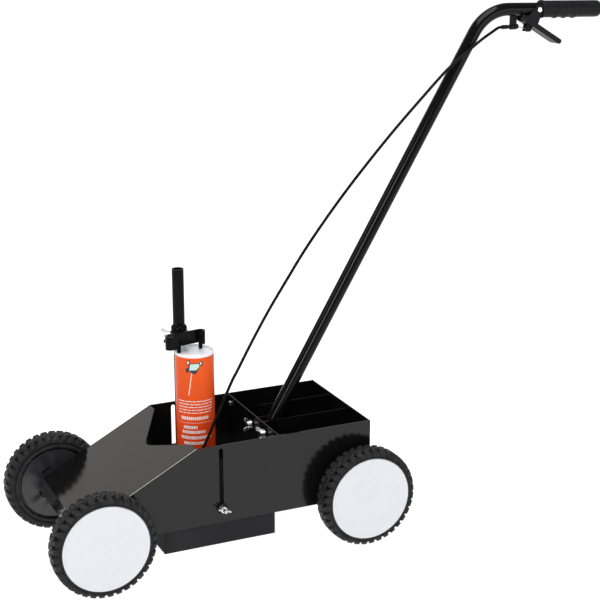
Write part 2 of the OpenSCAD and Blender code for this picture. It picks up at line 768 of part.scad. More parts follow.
module handle_foot() {
    back_x = bulkhead_x + sheet;
    color(black_coat) difference() {
        union() {
            translate([back_x, -70, 115]) cube([3, 86, 83]);
            for (y = [-foot_cheek_y - foot_cheek_t, foot_cheek_y])
                side_plate(y, y + foot_cheek_t) polygon([[back_x + 2, 125], [back_x + 2, 192],
                    [back_x + 48, 192], [back_x + 30, 142]]);
        }
        for (p = [foot_bolt_near, foot_bolt_far])
            translate([back_x - 1, p[0], p[1]]) rotate([0, 90, 0]) cylinder(r = 3.2, h = 6);
        y_rod(3.2, -20, 20, cross_bolt_x, cross_bolt_z);
    }
}

// Bolts of the handle's foot: two through the bulkhead and one across the tube
module foot_bolts() {
    color(zinc) {
        for (p = [foot_bolt_near, foot_bolt_far])
            translate([bulkhead_x - 14, p[0], p[1]]) rotate([0, 90, 0]) {
                cylinder(r = 3, h = 20 + sheet);
                translate([0, 0, 17 + sheet]) cylinder(r = 5.4, h = 4, $fn = 6);
                difference() {
                    translate([0, 0, 12.4]) cylinder(r = 8.5, h = 1.6);
                    translate([0, 0, 12]) cylinder(r = 2.9, h = 3);
                }
            }
        y_rod(3, -foot_cheek_y - 4.9, foot_cheek_y + 7.9, cross_bolt_x, cross_bolt_z);
        for (y = [-foot_cheek_y - foot_cheek_t, foot_cheek_y + foot_cheek_t + 4.1])
            translate([cross_bolt_x, y, cross_bolt_z]) rotate([90, 0, 0])
                cylinder(r = 5.4, h = 4, $fn = 6);
    }
}

// Wing nut on one of the foot bolts, in front of the bulkhead
module foot_wing_nut(place, turn) {
    color(zinc) translate([bulkhead_x - 1.6 - free_gap, place[0], place[1]]) rotate([0, -90, 0])
        rotate([0, 0, turn]) wing_nut(stud_r + run_gap);
}

module foot_wing_nut_near() { foot_wing_nut(foot_bolt_near, 35); }
module foot_wing_nut_far() { foot_wing_nut(foot_bolt_far, -8); }

// Ribbed rubber sleeve with a round end and three low finger stops below
module grip() {
    r = grip_d / 2;
    end_r = 7;
    start = (grip_start_x - elbow_x) / cos(top_tilt);
    length = (grip_end_x - grip_start_x) / cos(top_tilt) - r * tan(top_tilt);
    color(black_plastic) translate([elbow_x, 0, elbow_z]) rotate([0, 90 + top_tilt, 0])
        translate([0, 0, start]) difference() {
            union() {
                rotate_extrude() polygon(concat(
                    [[0, 0], [r - 0.5, 0], [r + 1.2, 2], [r + 1.2, 5], [r, 7]],
                    [for (a = [0 : 15 : 90])
                        [r - end_r + end_r * cos(a), length - end_r + end_r * sin(a)]],
                    [[0, length]]));
                for (k = [0 : 2])
                    translate([r - 3.4, 0, 30 + 19 * k]) rotate([90, 0, 0])
                        cylinder(r = 4.6, h = 12, center = true);
            }
            translate([0, 0, -1]) cylinder(r = tube_r + 0.05, h = length - 3);
        }
}

// Pressed-steel brake lever: a channel whose two cheeks straddle the handle tube
module hand_lever() {
    t = 1.8;
    blade_t = 8.7;
    blade_from = [lever_x - 34, lever_z - 10];
    blade_l = 95;
    boss_r = 7.6;
    color(black_coat) {
        for (y = [-cheek_y - t, cheek_y])
            difference() {
                side_plate(y, y + t) union() {
                    translate(blade_from) rotate(blade_angle) {
                        translate([0, -blade_t / 2]) square([blade_l - blade_t / 2, blade_t]);
                        translate([blade_l - blade_t / 2, 0]) circle(r = blade_t / 2);
                    }
                    translate([lever_x, lever_z]) circle(r = boss_r);
                    polygon([[lever_x - 5.4, lever_z + 5.3], [lever_x - 26, lever_z - 15],
                             [lever_x - 3, lever_z - 29], [lever_x + 7.2, lever_z - 2.5]]);
                }
                y_rod(2.5 + run_gap, y - 1, y + t + 1, lever_x, lever_z);
            }
        side_plate(-cheek_y, cheek_y) translate(blade_from) rotate(blade_angle) {
            translate([13, -blade_t / 2]) square([blade_l - 13 - blade_t / 2, t]);
            intersection() {
                translate([blade_l - blade_t / 2, 0]) difference() {
                    circle(r = blade_t / 2);
                    circle(r = blade_t / 2 - t);
                }
                translate([blade_l - blade_t / 2, -blade_t]) square([blade_t, 2 * blade_t]);
            }
        }
        for (y = [-6.3, 4.3])
            side_plate(y, y + 2) polygon([[nipple_x - 5, nipple_z - 5], [nipple_x - 2, nipple_z + 13],
                [nipple_x + 10, nipple_z + 6], [nipple_x + 4, nipple_z - 5]]);
    }
}

module lever_pivot() {
    half = cheek_y + 2.2;
    color(zinc) {
        y_rod(2.5, -half, half, lever_x, lever_z);
        y_rod(4.2, -half - 1.8, -half, lever_x, lever_z);
        y_rod(4.2, half, half + 1.8, lever_x, lever_z);
    }
}

left_side_panel();
right_side_panel();
hood();
rear_panel();
bulkhead();
left_divider();
right_divider();
storage_floor();
spray_skirt();
panel_bolts();
front_axle();
rear_axle();
axle_bushes();
wheel_spacers();
push_nuts();
front_left_tyre();
front_left_rim();
front_left_cover();
front_right_tyre();
front_right_rim();
front_right_cover();
rear_left_tyre();
rear_left_rim();
rear_left_cover();
rear_right_tyre();
rear_right_rim();
rear_right_cover();
can_cradle();
can_cup();
mast();
cradle_studs();
stud_washers();
left_wing_nut();
right_wing_nut();
retainer_collar();
retainer_band();
retainer_screw();
can_body();
can_base();
can_shoulder();
valve_cup();
spray_actuator();
trigger_lever();
trigger_pin();
cable_clamp();
cable_sheath();
lower_ferrule();
lower_wire();
upper_wire();
cable_nipple();
cable_adjuster();
cable_post();
handle_tube();
handle_foot();
foot_bolts();
foot_wing_nut_near();
foot_wing_nut_far();
grip();
hand_lever();
lever_pivot();
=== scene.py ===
"""Looks of a walk-behind line striping machine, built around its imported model.

Every piece is made in metres in the model's own frame: X runs from the front wheels to
the grip, +Z is up, and the ground is at z = 0.
"""

import logging
import math
from collections.abc import Callable, Iterable, Sequence
from dataclasses import dataclass
from enum import Enum

import bmesh
import bpy
from mathutils import Matrix, Vector

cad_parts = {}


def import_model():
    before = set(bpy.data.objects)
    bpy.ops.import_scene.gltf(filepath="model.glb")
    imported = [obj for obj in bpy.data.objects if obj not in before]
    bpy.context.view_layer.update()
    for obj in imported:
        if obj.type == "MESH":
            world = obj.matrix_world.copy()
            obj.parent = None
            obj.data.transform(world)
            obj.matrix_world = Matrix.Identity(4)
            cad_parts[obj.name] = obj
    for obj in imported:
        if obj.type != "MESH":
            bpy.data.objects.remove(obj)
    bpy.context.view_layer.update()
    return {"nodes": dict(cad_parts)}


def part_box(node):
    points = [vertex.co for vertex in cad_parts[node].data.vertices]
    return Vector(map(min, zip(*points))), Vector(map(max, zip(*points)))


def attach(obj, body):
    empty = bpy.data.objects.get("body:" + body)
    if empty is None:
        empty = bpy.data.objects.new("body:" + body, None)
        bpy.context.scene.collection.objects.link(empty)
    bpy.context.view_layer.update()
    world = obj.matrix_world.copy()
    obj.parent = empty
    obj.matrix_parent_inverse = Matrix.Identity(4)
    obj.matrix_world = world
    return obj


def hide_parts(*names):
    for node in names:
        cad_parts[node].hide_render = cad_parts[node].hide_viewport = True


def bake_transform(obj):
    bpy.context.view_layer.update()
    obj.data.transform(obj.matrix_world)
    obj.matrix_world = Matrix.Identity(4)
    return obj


LOG = logging.getLogger("line_striping_machine")
MM = 0.001
GROOVE_SHADE_DEPTH = "groove_shade_depth"
WELD_GAP = 0.02 * MM
FLAT_ANGLE = math.radians(1)
FOLD_ANGLE = math.radians(35)
FACING = 0.995
CAST_EDGE = 0.3 * MM
Colour = tuple[float, float, float]
Point = tuple[float, float, float]
Flat = tuple[float, float]


# ---------- studio ----------


@dataclass
class Studio:
    """Camera, lights, world and floor.

    Attributes:
        eye: Place of the camera.
        tilt: Camera's turn about X, Y and Z, in degrees.
        lens: Focal length on the sensor, in millimetres.
        sensor: Width of the sensor, in millimetres.
        surround: Colour of the world.
        floor_tint: Colour of the floor.
        floor_glow: Strength of the floor's own light.
        floor_half: Half of the floor's width, in metres.
        floor_drop: Depth of the floor below the ground, in metres.
    """

    eye: Point = (-1.0487, -2.1772, 1.0923)
    tilt: Point = (73.8, 0.0, -24.73)
    lens: float = 88.36
    sensor: float = 36.0
    surround: Colour = (0.20, 0.20, 0.21)
    floor_tint: Colour = (0.40, 0.40, 0.40)
    floor_glow: float = 0.98
    floor_half: float = 40.0
    floor_drop: float = 0.0004

    def place_camera(self) -> None:
        """Makes the camera and gives it to the scene."""
        lens = bpy.data.cameras.new("camera")
        lens.lens, lens.sensor_width = self.lens, self.sensor
        lens.clip_start, lens.clip_end = 0.05, 200.0
        camera = bpy.data.objects.new("camera", lens)
        camera.location = self.eye
        camera.rotation_euler = [math.radians(turn) for turn in self.tilt]
        bpy.context.scene.collection.objects.link(camera)
        bpy.context.scene.camera = camera

    def softbox(
        self,
        name: str,
        place: Point,
        aim: Point,
        size: Flat,
        power: float,
        tint: Colour = (1.0, 1.0, 1.0),
    ) -> None:
        """Adds one rectangular light.

        Args:
            name: Name of the light.
            place: Where it stands.
            aim: Point that it faces.
            size: Width and height, in metres.
            power: Strength in watts.
            tint: Colour of its light.
        """
        lamp = bpy.data.lights.new(name, "AREA")
        lamp.shape, lamp.size, lamp.size_y, lamp.energy = "RECTANGLE", size[0], size[1], power
        lamp.color = tint
        holder = bpy.data.objects.new(name, lamp)
        holder.location = place
        way = Vector(aim) - Vector(place)
        holder.rotation_euler = way.to_track_quat("-Z", "Y").to_euler()
        bpy.context.scene.collection.objects.link(holder)

    def light(self) -> None:
        """Sets the soft surround and the lights."""
        world = bpy.data.worlds.new("surround")
        world.use_nodes = True
        world.node_tree.nodes["Background"].inputs["Color"].default_value = (*self.surround, 1.0)
        bpy.context.scene.world = world
        self.softbox("ceiling", (-0.1, -0.5, 2.7), (-0.1, 0.0, 0.2), (1.6, 2.2), 56.0)
        self.softbox("key", (-2.2, -2.3, 1.7), (0.0, 0.0, 0.3), (1.0, 1.3), 36.0)
        self.softbox("edge", (-3.0, 0.9, 1.6), (0.1, 0.0, 0.5), (0.35, 2.4), 17.0)
        self.softbox("fill", (1.9, -3.2, 1.0), (0.1, 0.0, 0.3), (1.6, 1.2), 16.0)
        self.softbox("back", (0.0, 3.6, 2.4), (0.0, 0.0, 0.3), (4.5, 2.6), 36.0, (1.0, 0.95, 0.90))

    def lay_floor(self) -> None:
        """Lays the pale floor."""
        shape = bmesh.new()
        bmesh.ops.create_grid(shape, x_segments=8, y_segments=8, size=self.floor_half)
        floor = solid_of(shape, "floor", False)
        floor.location.z = -self.floor_drop
        paper = bpy.data.materials.new("pale_floor")
        paper.use_nodes = True
        shader = paper.node_tree.nodes["Principled BSDF"]
        shader.inputs["Base Color"].default_value = (*self.floor_tint, 1.0)
        shader.inputs["Roughness"].default_value = 0.9
        shader.inputs["Specular IOR Level"].default_value = 0.1
        shader.inputs["Emission Color"].default_value = (1.0, 1.0, 1.0, 1.0)
        shader.inputs["Emission Strength"].default_value = self.floor_glow
        floor.data.materials.append(paper)

    def build(self) -> None:
        """Sets up the whole studio."""
        bpy.context.scene.view_settings.view_transform = "Standard"
        self.place_camera()
        self.light()
        self.lay_floor()


# ---------- finishes ----------


class Graph:
    """Node graph of one new material, with the steps that the finishes share."""

    def __init__(self, name: str) -> None:
        """Starts a material.

        Args:
            name: Name of the material.
        """
        self.material = bpy.data.materials.new(name)
        self.material.use_nodes = True
        self.tree = self.material.node_tree
        self.shader = self.tree.nodes["Principled BSDF"]
        self.place = self.tree.nodes.new("ShaderNodeTexCoord").outputs["Object"]

    def set(self, **sockets: float) -> None:
        """Sets the shader's own sockets, with _ for a space in a name."""
        for name, value in sockets.items():
            self.shader.inputs[name.replace("_", " ")].default_value = value

    def feed(self, socket: str, source: bpy.types.NodeSocket) -> None:
        """Links a source to one of the shader's sockets."""
        self.tree.links.new(source, self.shader.inputs[socket])

    def stretched(self, scale: Point, turn: Point = (0.0, 0.0, 0.0)) -> bpy.types.NodeSocket:
        """Gives the object's coordinates, turned and then measured in given lengths.

        Args:
            scale: Length of one unit along each turned axis, in metres.
            turn: Turn about X, Y and Z, in degrees.

        Returns:
            The vector socket.
        """
        mapping = self.tree.nodes.new("ShaderNodeMapping")
        mapping.vector_type = "TEXTURE"
        mapping.inputs["Scale"].default_value = scale
        mapping.inputs["Rotation"].default_value = [math.radians(a) for a in turn]
        self.tree.links.new(self.place, mapping.inputs["Vector"])
        return mapping.outputs["Vector"]

    def noise(
        self,
        size: float,
        detail: float = 3.0,
        place: bpy.types.NodeSocket | None = None,
        distortion: float = 0.0,
    ) -> bpy.types.NodeSocket:
        """Adds a noise pattern.

        Args:
            size: Size of its features, in metres.
            detail: Octaves of finer noise.
            place: Coordinates, or the object's own.
            distortion: How much the pattern is bent.

        Returns:
            The pattern's value, 0 to 1.
        """
        made = self.tree.nodes.new("ShaderNodeTexNoise")
        made.inputs["Scale"].default_value = 1.0 / size
        made.inputs["Detail"].default_value = detail
        made.inputs["Distortion"].default_value = distortion
        self.tree.links.new(place or self.place, made.inputs["Vector"])
        return made.outputs["Fac"]

    def height(self) -> bpy.types.NodeSocket:
        """Gives the height above the ground, in metres."""
        made = self.tree.nodes.new("ShaderNodeSeparateXYZ")
        self.tree.links.new(self.place, made.inputs["Vector"])
        return made.outputs["Z"]

    def spread(
        self, source: bpy.types.NodeSocket, low: float, high: float, to_low: float, to_high: float
    ) -> bpy.types.NodeSocket:
        """Maps one range of a value to another, clamped.

        Args:
            source: The value.
            low: Start of its range.
            high: End of its range.
            to_low: Result at the start.
            to_high: Result at the end.

        Returns:
            The mapped value.
        """
        made = self.tree.nodes.new("ShaderNodeMapRange")
        for socket, value in zip(
            ("From Min", "From Max", "To Min", "To Max"), (low, high, to_low, to_high)
        ):
            made.inputs[socket].default_value = value
        self.tree.links.new(source, made.inputs["Value"])
        return made.outputs["Result"]

    def blend(
        self, share: bpy.types.NodeSocket, low: Colour, high: Colour
    ) -> bpy.types.NodeSocket:
        """Mixes two colours by a share.

        Args:
            share: 0 for the first colour, 1 for the second.
            low: First colour.
            high: Second colour.

        Returns:
            The mixed colour.
        """
        made = self.tree.nodes.new("ShaderNodeMix")
        made.data_type = "RGBA"
        made.inputs["A"].default_value = (*low, 1.0)
        made.inputs["B"].default_value = (*high, 1.0)
        self.tree.links.new(share, made.inputs["Factor"])
        return made.outputs["Result"]

    def layer(
        self,
        share: bpy.types.NodeSocket,
        under: bpy.types.NodeSocket,
        over: Colour,
    ) -> bpy.types.NodeSocket:
        """Lays a colour over another one by a share.

        Args:
            share: How much of the upper colour shows.
            under: The colour below.
            over: The upper colour.

        Returns:
            The mixed colour.
        """
        made = self.tree.nodes.new("ShaderNodeMix")
        made.data_type = "RGBA"
        made.inputs["B"].default_value = (*over, 1.0)
        self.tree.links.new(under, made.inputs["A"])
        self.tree.links.new(share, made.inputs["Factor"])
        return made.outputs["Result"]

    def bump(self, height: bpy.types.NodeSocket, depth: float, strength: float = 1.0) -> None:
        """Adds a surface relief on top of what is there.

        Args:
            height: Height pattern, 0 to 1.
            depth: Depth of the relief, in metres.
            strength: Share of it that shows.
        """
        made = self.tree.nodes.new("ShaderNodeBump")
        made.inputs["Distance"].default_value = depth
        made.inputs["Strength"].default_value = strength
        self.tree.links.new(height, made.inputs["Height"])
        earlier = self.shader.inputs["Normal"]
        if earlier.is_linked:
            self.tree.links.new(earlier.links[0].from_socket, made.inputs["Normal"])
        self.tree.links.new(made.outputs["Normal"], earlier)


@dataclass(frozen=True)
class PowderCoat:
    """Black powder coat with a fine orange peel and a little dust.

    Attributes:
        name: Name of the material.
        deep: Colour of clean coat.
        dusty: Colour of dusty coat.
        gloss: Lowest and highest roughness.
        peel_size: Size of the orange peel, in metres.
        peel_depth: Depth of the orange peel, in metres.
        shine: Strength of its reflections.
    """

    name: str = "black_powder_coat"
    deep: Colour = (0.0040, 0.0040, 0.0044)
    dusty: Colour = (0.0062, 0.0060, 0.0058)
    gloss: Flat = (0.10, 0.16)
    peel_size: float = 0.0030
    peel_depth: float = 0.000008
    shine: float = 0.3

    def build(self) -> bpy.types.Material:
        """Makes the material."""
        graph = Graph(self.name)
        cloud = graph.noise(0.16, 3.0)
        graph.feed("Base Color", graph.blend(graph.spread(cloud, 0.35, 0.75, 0, 1), self.deep, self.dusty))
        rub = graph.noise(0.07, 3.0)
        graph.feed("Roughness", graph.spread(rub, 0.3, 0.7, *self.gloss))
        graph.set(IOR=1.5, Specular_IOR_Level=self.shine)
        graph.bump(graph.noise(self.peel_size, 1.5), self.peel_depth, 0.7)
        return graph.material


@dataclass(frozen=True)
class ZincPlate:
    """Bright zinc plate over steel, with fine spangle and handling marks.

    Attributes:
        name: Name of the material.
        bright: Colour of clean plate.
        dull: Colour of dulled plate.
        gloss: Lowest and highest roughness.
        grain: Size of the spangle, in metres.
    """

    name: str = "bright_zinc"
    bright: Colour = (0.78, 0.79, 0.80)
    dull: Colour = (0.50, 0.50, 0.49)
    gloss: Flat = (0.16, 0.42)
    grain: float = 0.0018

    def build(self) -> bpy.types.Material:
        """Makes the material."""
        graph = Graph(self.name)
        marks = graph.noise(self.grain, 4.0)
        graph.feed("Base Color", graph.blend(graph.spread(marks, 0.35, 0.7, 0, 1), self.bright, self.dull))
        graph.feed("Roughness", graph.spread(graph.noise(self.grain * 2.5, 3.0), 0.3, 0.7, *self.gloss))
        graph.set(Metallic=1.0)
        graph.bump(graph.noise(self.grain * 0.6, 2.0), 0.00003, 0.5)
        return graph.material


@dataclass(frozen=True)
class BlackRubber:
    """Moulded black rubber: matt, finely grained, paler where dust sits.

    Attributes:
        name: Name of the material.
        deep: Colour of clean rubber.
        dusty: Colour of dusty rubber.
        gloss: Lowest and highest roughness.
        grain: Size of the grain, in metres.
        relief: Depth of the grain, in metres.
        shine: Strength of its reflections.
        groove: Painted shade colour at the bottom of moulded grooves, where a mesh has their depth.
    """

    name: str
    deep: Colour
    dusty: Colour
    gloss: Flat
    grain: float
    relief: float
    shine: float = 0.5
    groove: Colour | None = None

    def build(self) -> bpy.types.Material:
        """Makes the material."""
        graph = Graph(self.name)
        cloud = graph.noise(0.012, 5.0)
        skin = graph.blend(graph.spread(cloud, 0.35, 0.7, 0, 1), self.deep, self.dusty)
        # Painted shade: the groove colour is laid over the rubber where the stored depth says a point lies
        # deep in a groove, slot or gap.
        if self.groove:
            depth = graph.tree.nodes.new("ShaderNodeAttribute")
            depth.attribute_name = GROOVE_SHADE_DEPTH
            skin = graph.layer(graph.spread(depth.outputs["Fac"], 0.15, 0.8, 0, 1), skin, self.groove)
        graph.feed("Base Color", skin)
        graph.feed("Roughness", graph.spread(graph.noise(0.006, 3.0), 0.3, 0.7, *self.gloss))
        graph.set(Specular_IOR_Level=self.shine)
        graph.bump(graph.noise(self.grain, 2.0), self.relief, 0.6)
        return graph.material


@dataclass(frozen=True)
class StreakedWhite:
    """White injection-moulded plastic with faint flow streaks.

    Attributes:
        name: Name of the material.
        plain: Its main colour.
        streak: Colour of the streaks.
    """

    name: str = "white_cover_plastic"
    plain: Colour = (0.665, 0.67, 0.70)
    streak: Colour = (0.635, 0.64, 0.675)

    def build(self) -> bpy.types.Material:
        """Makes the material."""
        graph = Graph(self.name)
        along = graph.stretched((0.075, 0.075, 0.011), (0.0, -28.0, 0.0))
        flow = graph.noise(1.0, 3.0, along, 1.1)
        graph.feed("Base Color", graph.blend(graph.spread(flow, 0.50, 0.72, 0, 1), self.plain, self.streak))
        graph.feed("Roughness", graph.spread(flow, 0.3, 0.7, 0.30, 0.42))
        graph.set(Specular_IOR_Level=0.4)
        graph.bump(flow, 0.00025, 0.12)
        graph.bump(graph.noise(0.0012, 2.0), 0.00001, 0.5)
        return graph.material


@dataclass(frozen=True)
class Enamel:
    """Printed or sprayed enamel on thin sheet metal.

    Attributes:
        name: Name of the material.
        main: Its colour.
        worn: Its colour where it is thin or rubbed.
        gloss: Lowest and highest roughness.
        shine: Strength of its reflections.
        fade: Heights in metres where a fade towards the bottom starts and ends, and its last colour.
    """

    name: str
    main: Colour
    worn: Colour
    gloss: Flat = (0.24, 0.36)
    shine: float = 0.4
    fade: tuple[float, float, Colour] | None = None

    def build(self) -> bpy.types.Material:
        """Makes the material."""
        graph = Graph(self.name)
        cloud = graph.noise(0.03, 5.0)
        skin = graph.blend(graph.spread(cloud, 0.4, 0.75, 0, 1), self.main, self.worn)
        if self.fade:
            high, low, colour = self.fade
            skin = graph.layer(graph.spread(graph.height(), high, low, 0, 1), skin, colour)
        graph.feed("Base Color", skin)
        graph.feed("Roughness", graph.spread(graph.noise(0.004, 3.0), 0.3, 0.7, *self.gloss))
        graph.set(Specular_IOR_Level=self.shine)
        graph.bump(graph.noise(0.002, 2.0), 0.00001, 0.5)
        return graph.material


MADE: dict[str, bpy.types.Material] = {}


class Finish(Enum):
    """Every finish on the machine, with the record's slot that it stands for."""

    COAT = ("black_coat", PowderCoat())
    TUBE = (
        "black_coat",
        PowderCoat(
            "black_tube_coat", (0.0028, 0.0028, 0.0032), (0.0050, 0.0048, 0.0046), (0.14, 0.20), shine=0.07
        ),
    )
    ZINC = ("zinc", ZincPlate())
    HANDLE = (
        "black_coat",
        PowderCoat(
            "black_handle_coat", (0.0028, 0.0028, 0.0032), (0.0046, 0.0045, 0.0044), (0.07, 0.10), shine=0.13
        ),
    )
    # Painted shade: a dull copy of the coat for the spray skirt, whose weak reflection stands in for the
    # shade under the box.
    MATT_SHADE = (
        "black_coat",
        PowderCoat(
            "black_matt_shade_coat", (0.021, 0.021, 0.023), (0.027, 0.026, 0.027), (0.45, 0.60), shine=0.02
        ),
    )
    HIDDEN = (
        "black_coat",
        PowderCoat(
            "black_shaded_coat", (0.004, 0.004, 0.0045), (0.007, 0.007, 0.007), (0.50, 0.62), shine=0.03
        ),
    )
    LEVER = (
        "black_coat",
        PowderCoat(
            "black_lever_coat", (0.0075, 0.0075, 0.0085), (0.011, 0.011, 0.012), (0.30, 0.42), shine=0.07
        ),
    )
    TYRE = (
        "tyre_rubber",
        BlackRubber(
            "tyre_rubber", (0.016, 0.016, 0.0175), (0.032, 0.031, 0.0305), (0.32, 0.46), 0.0011, 0.00006,
            # painted shade colour for the bottoms of the tread's grooves and the lines round the cover
            shine=0.08, groove=(0.0030, 0.0030, 0.0034),
        ),
    )
    RIM = (
        "rim_plastic",
        BlackRubber(
            "black_rim_plastic", (0.020, 0.020, 0.022), (0.026, 0.026, 0.028), (0.20, 0.26), 0.006, 0.000004,
            # painted shade colour for the snap slots and the gap beside the tyre's bead
            shine=0.6, groove=(0.0008, 0.0008, 0.0010),
        ),
    )
    COVER = ("cover_plastic", StreakedWhite())
    LABEL = (
        "can_label",
        Enamel(
            "orange_label", (0.76, 0.094, 0.012), (0.75, 0.088, 0.011), (0.26, 0.36), shine=0.1,
            fade=(0.29, 0.18, (0.74, 0.056, 0.008)),
        ),
    )
    WHITE = ("can_white", Enamel("white_enamel", (0.80, 0.80, 0.84), (0.72, 0.72, 0.77)))
    INK_WHITE = ("can_label", Enamel("white_ink", (0.82, 0.80, 0.78), (0.72, 0.66, 0.62)))
    INK_DARK = ("can_label", Enamel("dark_ink", (0.010, 0.020, 0.035), (0.02, 0.03, 0.045)))
    INK_PALE = ("can_label", Enamel("pale_ink", (0.52, 0.72, 0.66), (0.60, 0.70, 0.55)))
    TIN = ("can_tin", ZincPlate("can_tin", (0.70, 0.70, 0.71), (0.55, 0.55, 0.56), (0.22, 0.38), 0.003))
    NOZZLE = ("nozzle_plastic", Enamel("nozzle_plastic", (0.72, 0.72, 0.70), (0.62, 0.62, 0.60)))
    JACKET = (
        "cable_jacket",
        BlackRubber(
            "cable_jacket", (0.004, 0.004, 0.0045), (0.007, 0.007, 0.007), (0.28, 0.40), 0.0008, 0.00002,
            shine=0.05,
        ),
    )
    STEEL = (
        "bare_steel",
        ZincPlate("bare_steel", (0.56, 0.55, 0.54), (0.36, 0.35, 0.34), (0.24, 0.45), 0.0012),
    )
    GRIP = (
        "grip_rubber",
        BlackRubber(
            "grip_rubber", (0.0100, 0.0100, 0.0112), (0.0150, 0.0146, 0.0150), (0.28, 0.40), 0.0007, 0.00003,
            shine=0.07,
        ),
    )

    @property
    def slot(self) -> str:
        """Name of the record's material slot."""
        return self.value[0]

    @property
    def material(self) -> bpy.types.Material:
        """The finish's material, made once."""
        if self.name not in MADE:
            MADE[self.name] = self.value[1].build()
        return MADE[self.name]


# ---------- making meshes ----------


def solid_of(shape: bmesh.types.BMesh, name: str, smooth: bool = True) -> bpy.types.Object:
    """Turns a bmesh into an object.

    Args:
        shape: The mesh, which is freed.
        name: Name of the object.
        smooth: True for smooth shading.

    Returns:
        The object, linked to the scene.
    """
    mesh = bpy.data.meshes.new(name)
    bmesh.ops.recalc_face_normals(shape, faces=shape.faces)
    shape.to_mesh(mesh)
    shape.free()
    for face in mesh.polygons:
        face.use_smooth = smooth
    made = bpy.data.objects.new(name, mesh)
    bpy.context.scene.collection.objects.link(made)
    return made


def add_grid(
    shape: bmesh.types.BMesh,
    rows: Sequence[Sequence[Vector]],
    close_rows: bool = True,
    close_ends: bool = False,
    caps: bool = False,
) -> None:
    """Adds a skin over rows of points.

    Args:
        shape: The mesh to add to.
        rows: Rows of points, all of one length.
        close_rows: True if each row is a loop.
        close_ends: True if the last row joins the first.
        caps: True to close the first and last row with a face each.
    """
    made = [[shape.verts.new(point) for point in row] for row in rows]
    length = len(made[0])
    last = len(made) if close_ends else len(made) - 1
    for i in range(last):
        low, high = made[i], made[(i + 1) % len(made)]
        for j in range(length if close_rows else length - 1):
            k = (j + 1) % length
            shape.faces.new((low[j], low[k], high[k], high[j]))
    if caps:
        shape.faces.new(made[0])
        shape.faces.new(made[-1])


def spin(
    outline: Sequence[Flat], steps: int, lift: Callable[[float, float, float], Flat] | None = None
) -> bmesh.types.BMesh:
    """Turns a closed outline of radius and height about Z.

    Args:
        outline: Points (radius, height) of a closed loop.
        steps: Number of steps round.
        lift: Optional change of (turn, radius, height) to a new radius and height.

    Returns:
        The mesh.
    """
    shape = bmesh.new()
    rows = []
    for i in range(steps):
        turn = 2 * math.pi * i / steps
        row = []
        for radius, height in outline:
            r, h = lift(turn, radius, height) if lift else (radius, height)
            row.append(Vector((r * math.cos(turn), r * math.sin(turn), h)))
        rows.append(row)
    add_grid(shape, rows, close_rows=True, close_ends=True)
    return shape


def mark_grooves(
    piece: bpy.types.Object,
    steps: int,
    outline: Sequence[Flat],
    depth: Callable[[float, float, float], float],
) -> None:
    """Stores how deep in a groove each point of a turned piece lies, which sets the painted shade in grooves.

    Args:
        piece: Piece made by spin().
        steps: Its steps round.
        outline: Its outline.
        depth: Share of a groove's depth at (turn, radius, height).
    """
    values = [depth(2 * math.pi * i / steps, *place) for i in range(steps) for place in outline]
    piece.data.attributes.new(GROOVE_SHADE_DEPTH, "FLOAT", "POINT").data.foreach_set("value", values)


def finer(outline: Sequence[Flat], step: float) -> list[Flat]:
    """Splits a closed outline's long sides.

    Args:
        outline: Corners of the loop.
        step: Longest side allowed.

    Returns:
        The corners with points between them.
    """
    made: list[Flat] = []
    for a, b in zip(outline, [*outline[1:], outline[0]]):
        parts = max(1, math.ceil(math.dist(a, b) / step))
        made += [(a[0] + (b[0] - a[0]) * k / parts, a[1] + (b[1] - a[1]) * k / parts) for k in range(parts)]
    return made


def rounded(corners: Sequence[Flat], radius: float, steps: int = 4) -> list[Flat]:
    """Rounds the corners of a closed outline.

    Args:
        corners: Corners of the loop.
        radius: Length that each corner's round takes of its sides.
        steps: Points in each round.

    Returns:
        The rounded loop.
    """
    made: list[Flat] = []
    count = len(corners)
    for i in range(count):
        here = Vector(corners[i])
        before, after = Vector(corners[i - 1]), Vector(corners[(i + 1) % count])
        back, on = before - here, after - here
        cut = min(radius, back.length * 0.45, on.length * 0.45)
        start, end = here + back.normalized() * cut, here + on.normalized() * cut
        for k in range(steps + 1):
            t = k / steps
            point = start * (1 - t) ** 2 + here * (2 * t * (1 - t)) + end * t**2
            made.append((point.x, point.y))
    return made


def smooth_route(points: Sequence[Point], parts: int) -> list[Vector]:
    """Runs a smooth curve through points.

    Args:
        points: Points of the route.
        parts: Steps between two of them.

    Returns:
        The finer route.
    """
    p = [Vector(q) for q in points]
    last = len(p) - 1
    made = []
    for k in range(last):
        a, b, c, d = p[max(k - 1, 0)], p[k], p[k + 1], p[min(k + 2, last)]
        for s in range(parts):
            t = s / parts
            square, cube = (2 * a - 5 * b + 4 * c - d) * t * t, (3 * b - a - 3 * c + d) * t**3
            made.append(0.5 * (2 * b + (c - a) * t + square + cube))
    return [*made, p[last]]


def sweep(route: Sequence[Vector], radii: Sequence[float], sides: int) -> bmesh.types.BMesh:
    """Sweeps a round section along a route that stays near the XZ plane.

    Args:
        route: Centre points.
        radii: Radius at each point.
        sides: Sides of the section.

    Returns:
        The closed mesh.
    """
    rows = []
    for k, centre in enumerate(route):
        way = (route[min(k + 1, len(route) - 1)] - route[max(k - 1, 0)]).normalized()
        side = Vector((0, 1, 0)).cross(way).normalized()
        up = way.cross(side)
        turns = [2 * math.pi * a / sides for a in range(sides)]
        rows.append([centre + radii[k] * (side * math.cos(turn) + up * math.sin(turn)) for turn in turns])
    shape = bmesh.new()
    add_grid(shape, rows, caps=True)
    return shape


def settle(obj: bpy.types.Object) -> bpy.types.Object:
    """Applies an object's modifiers and place to its mesh.

    Args:
        obj: The object.

    Returns:
        The same object with its final mesh.
    """
    bpy.context.view_layer.update()
    ready = obj.evaluated_get(bpy.context.evaluated_depsgraph_get())
    mesh = bpy.data.meshes.new_from_object(ready)
    mesh.transform(obj.matrix_world)
    obj.modifiers.clear()
    obj.data = mesh
    obj.matrix_world = Matrix.Identity(4)
    return obj


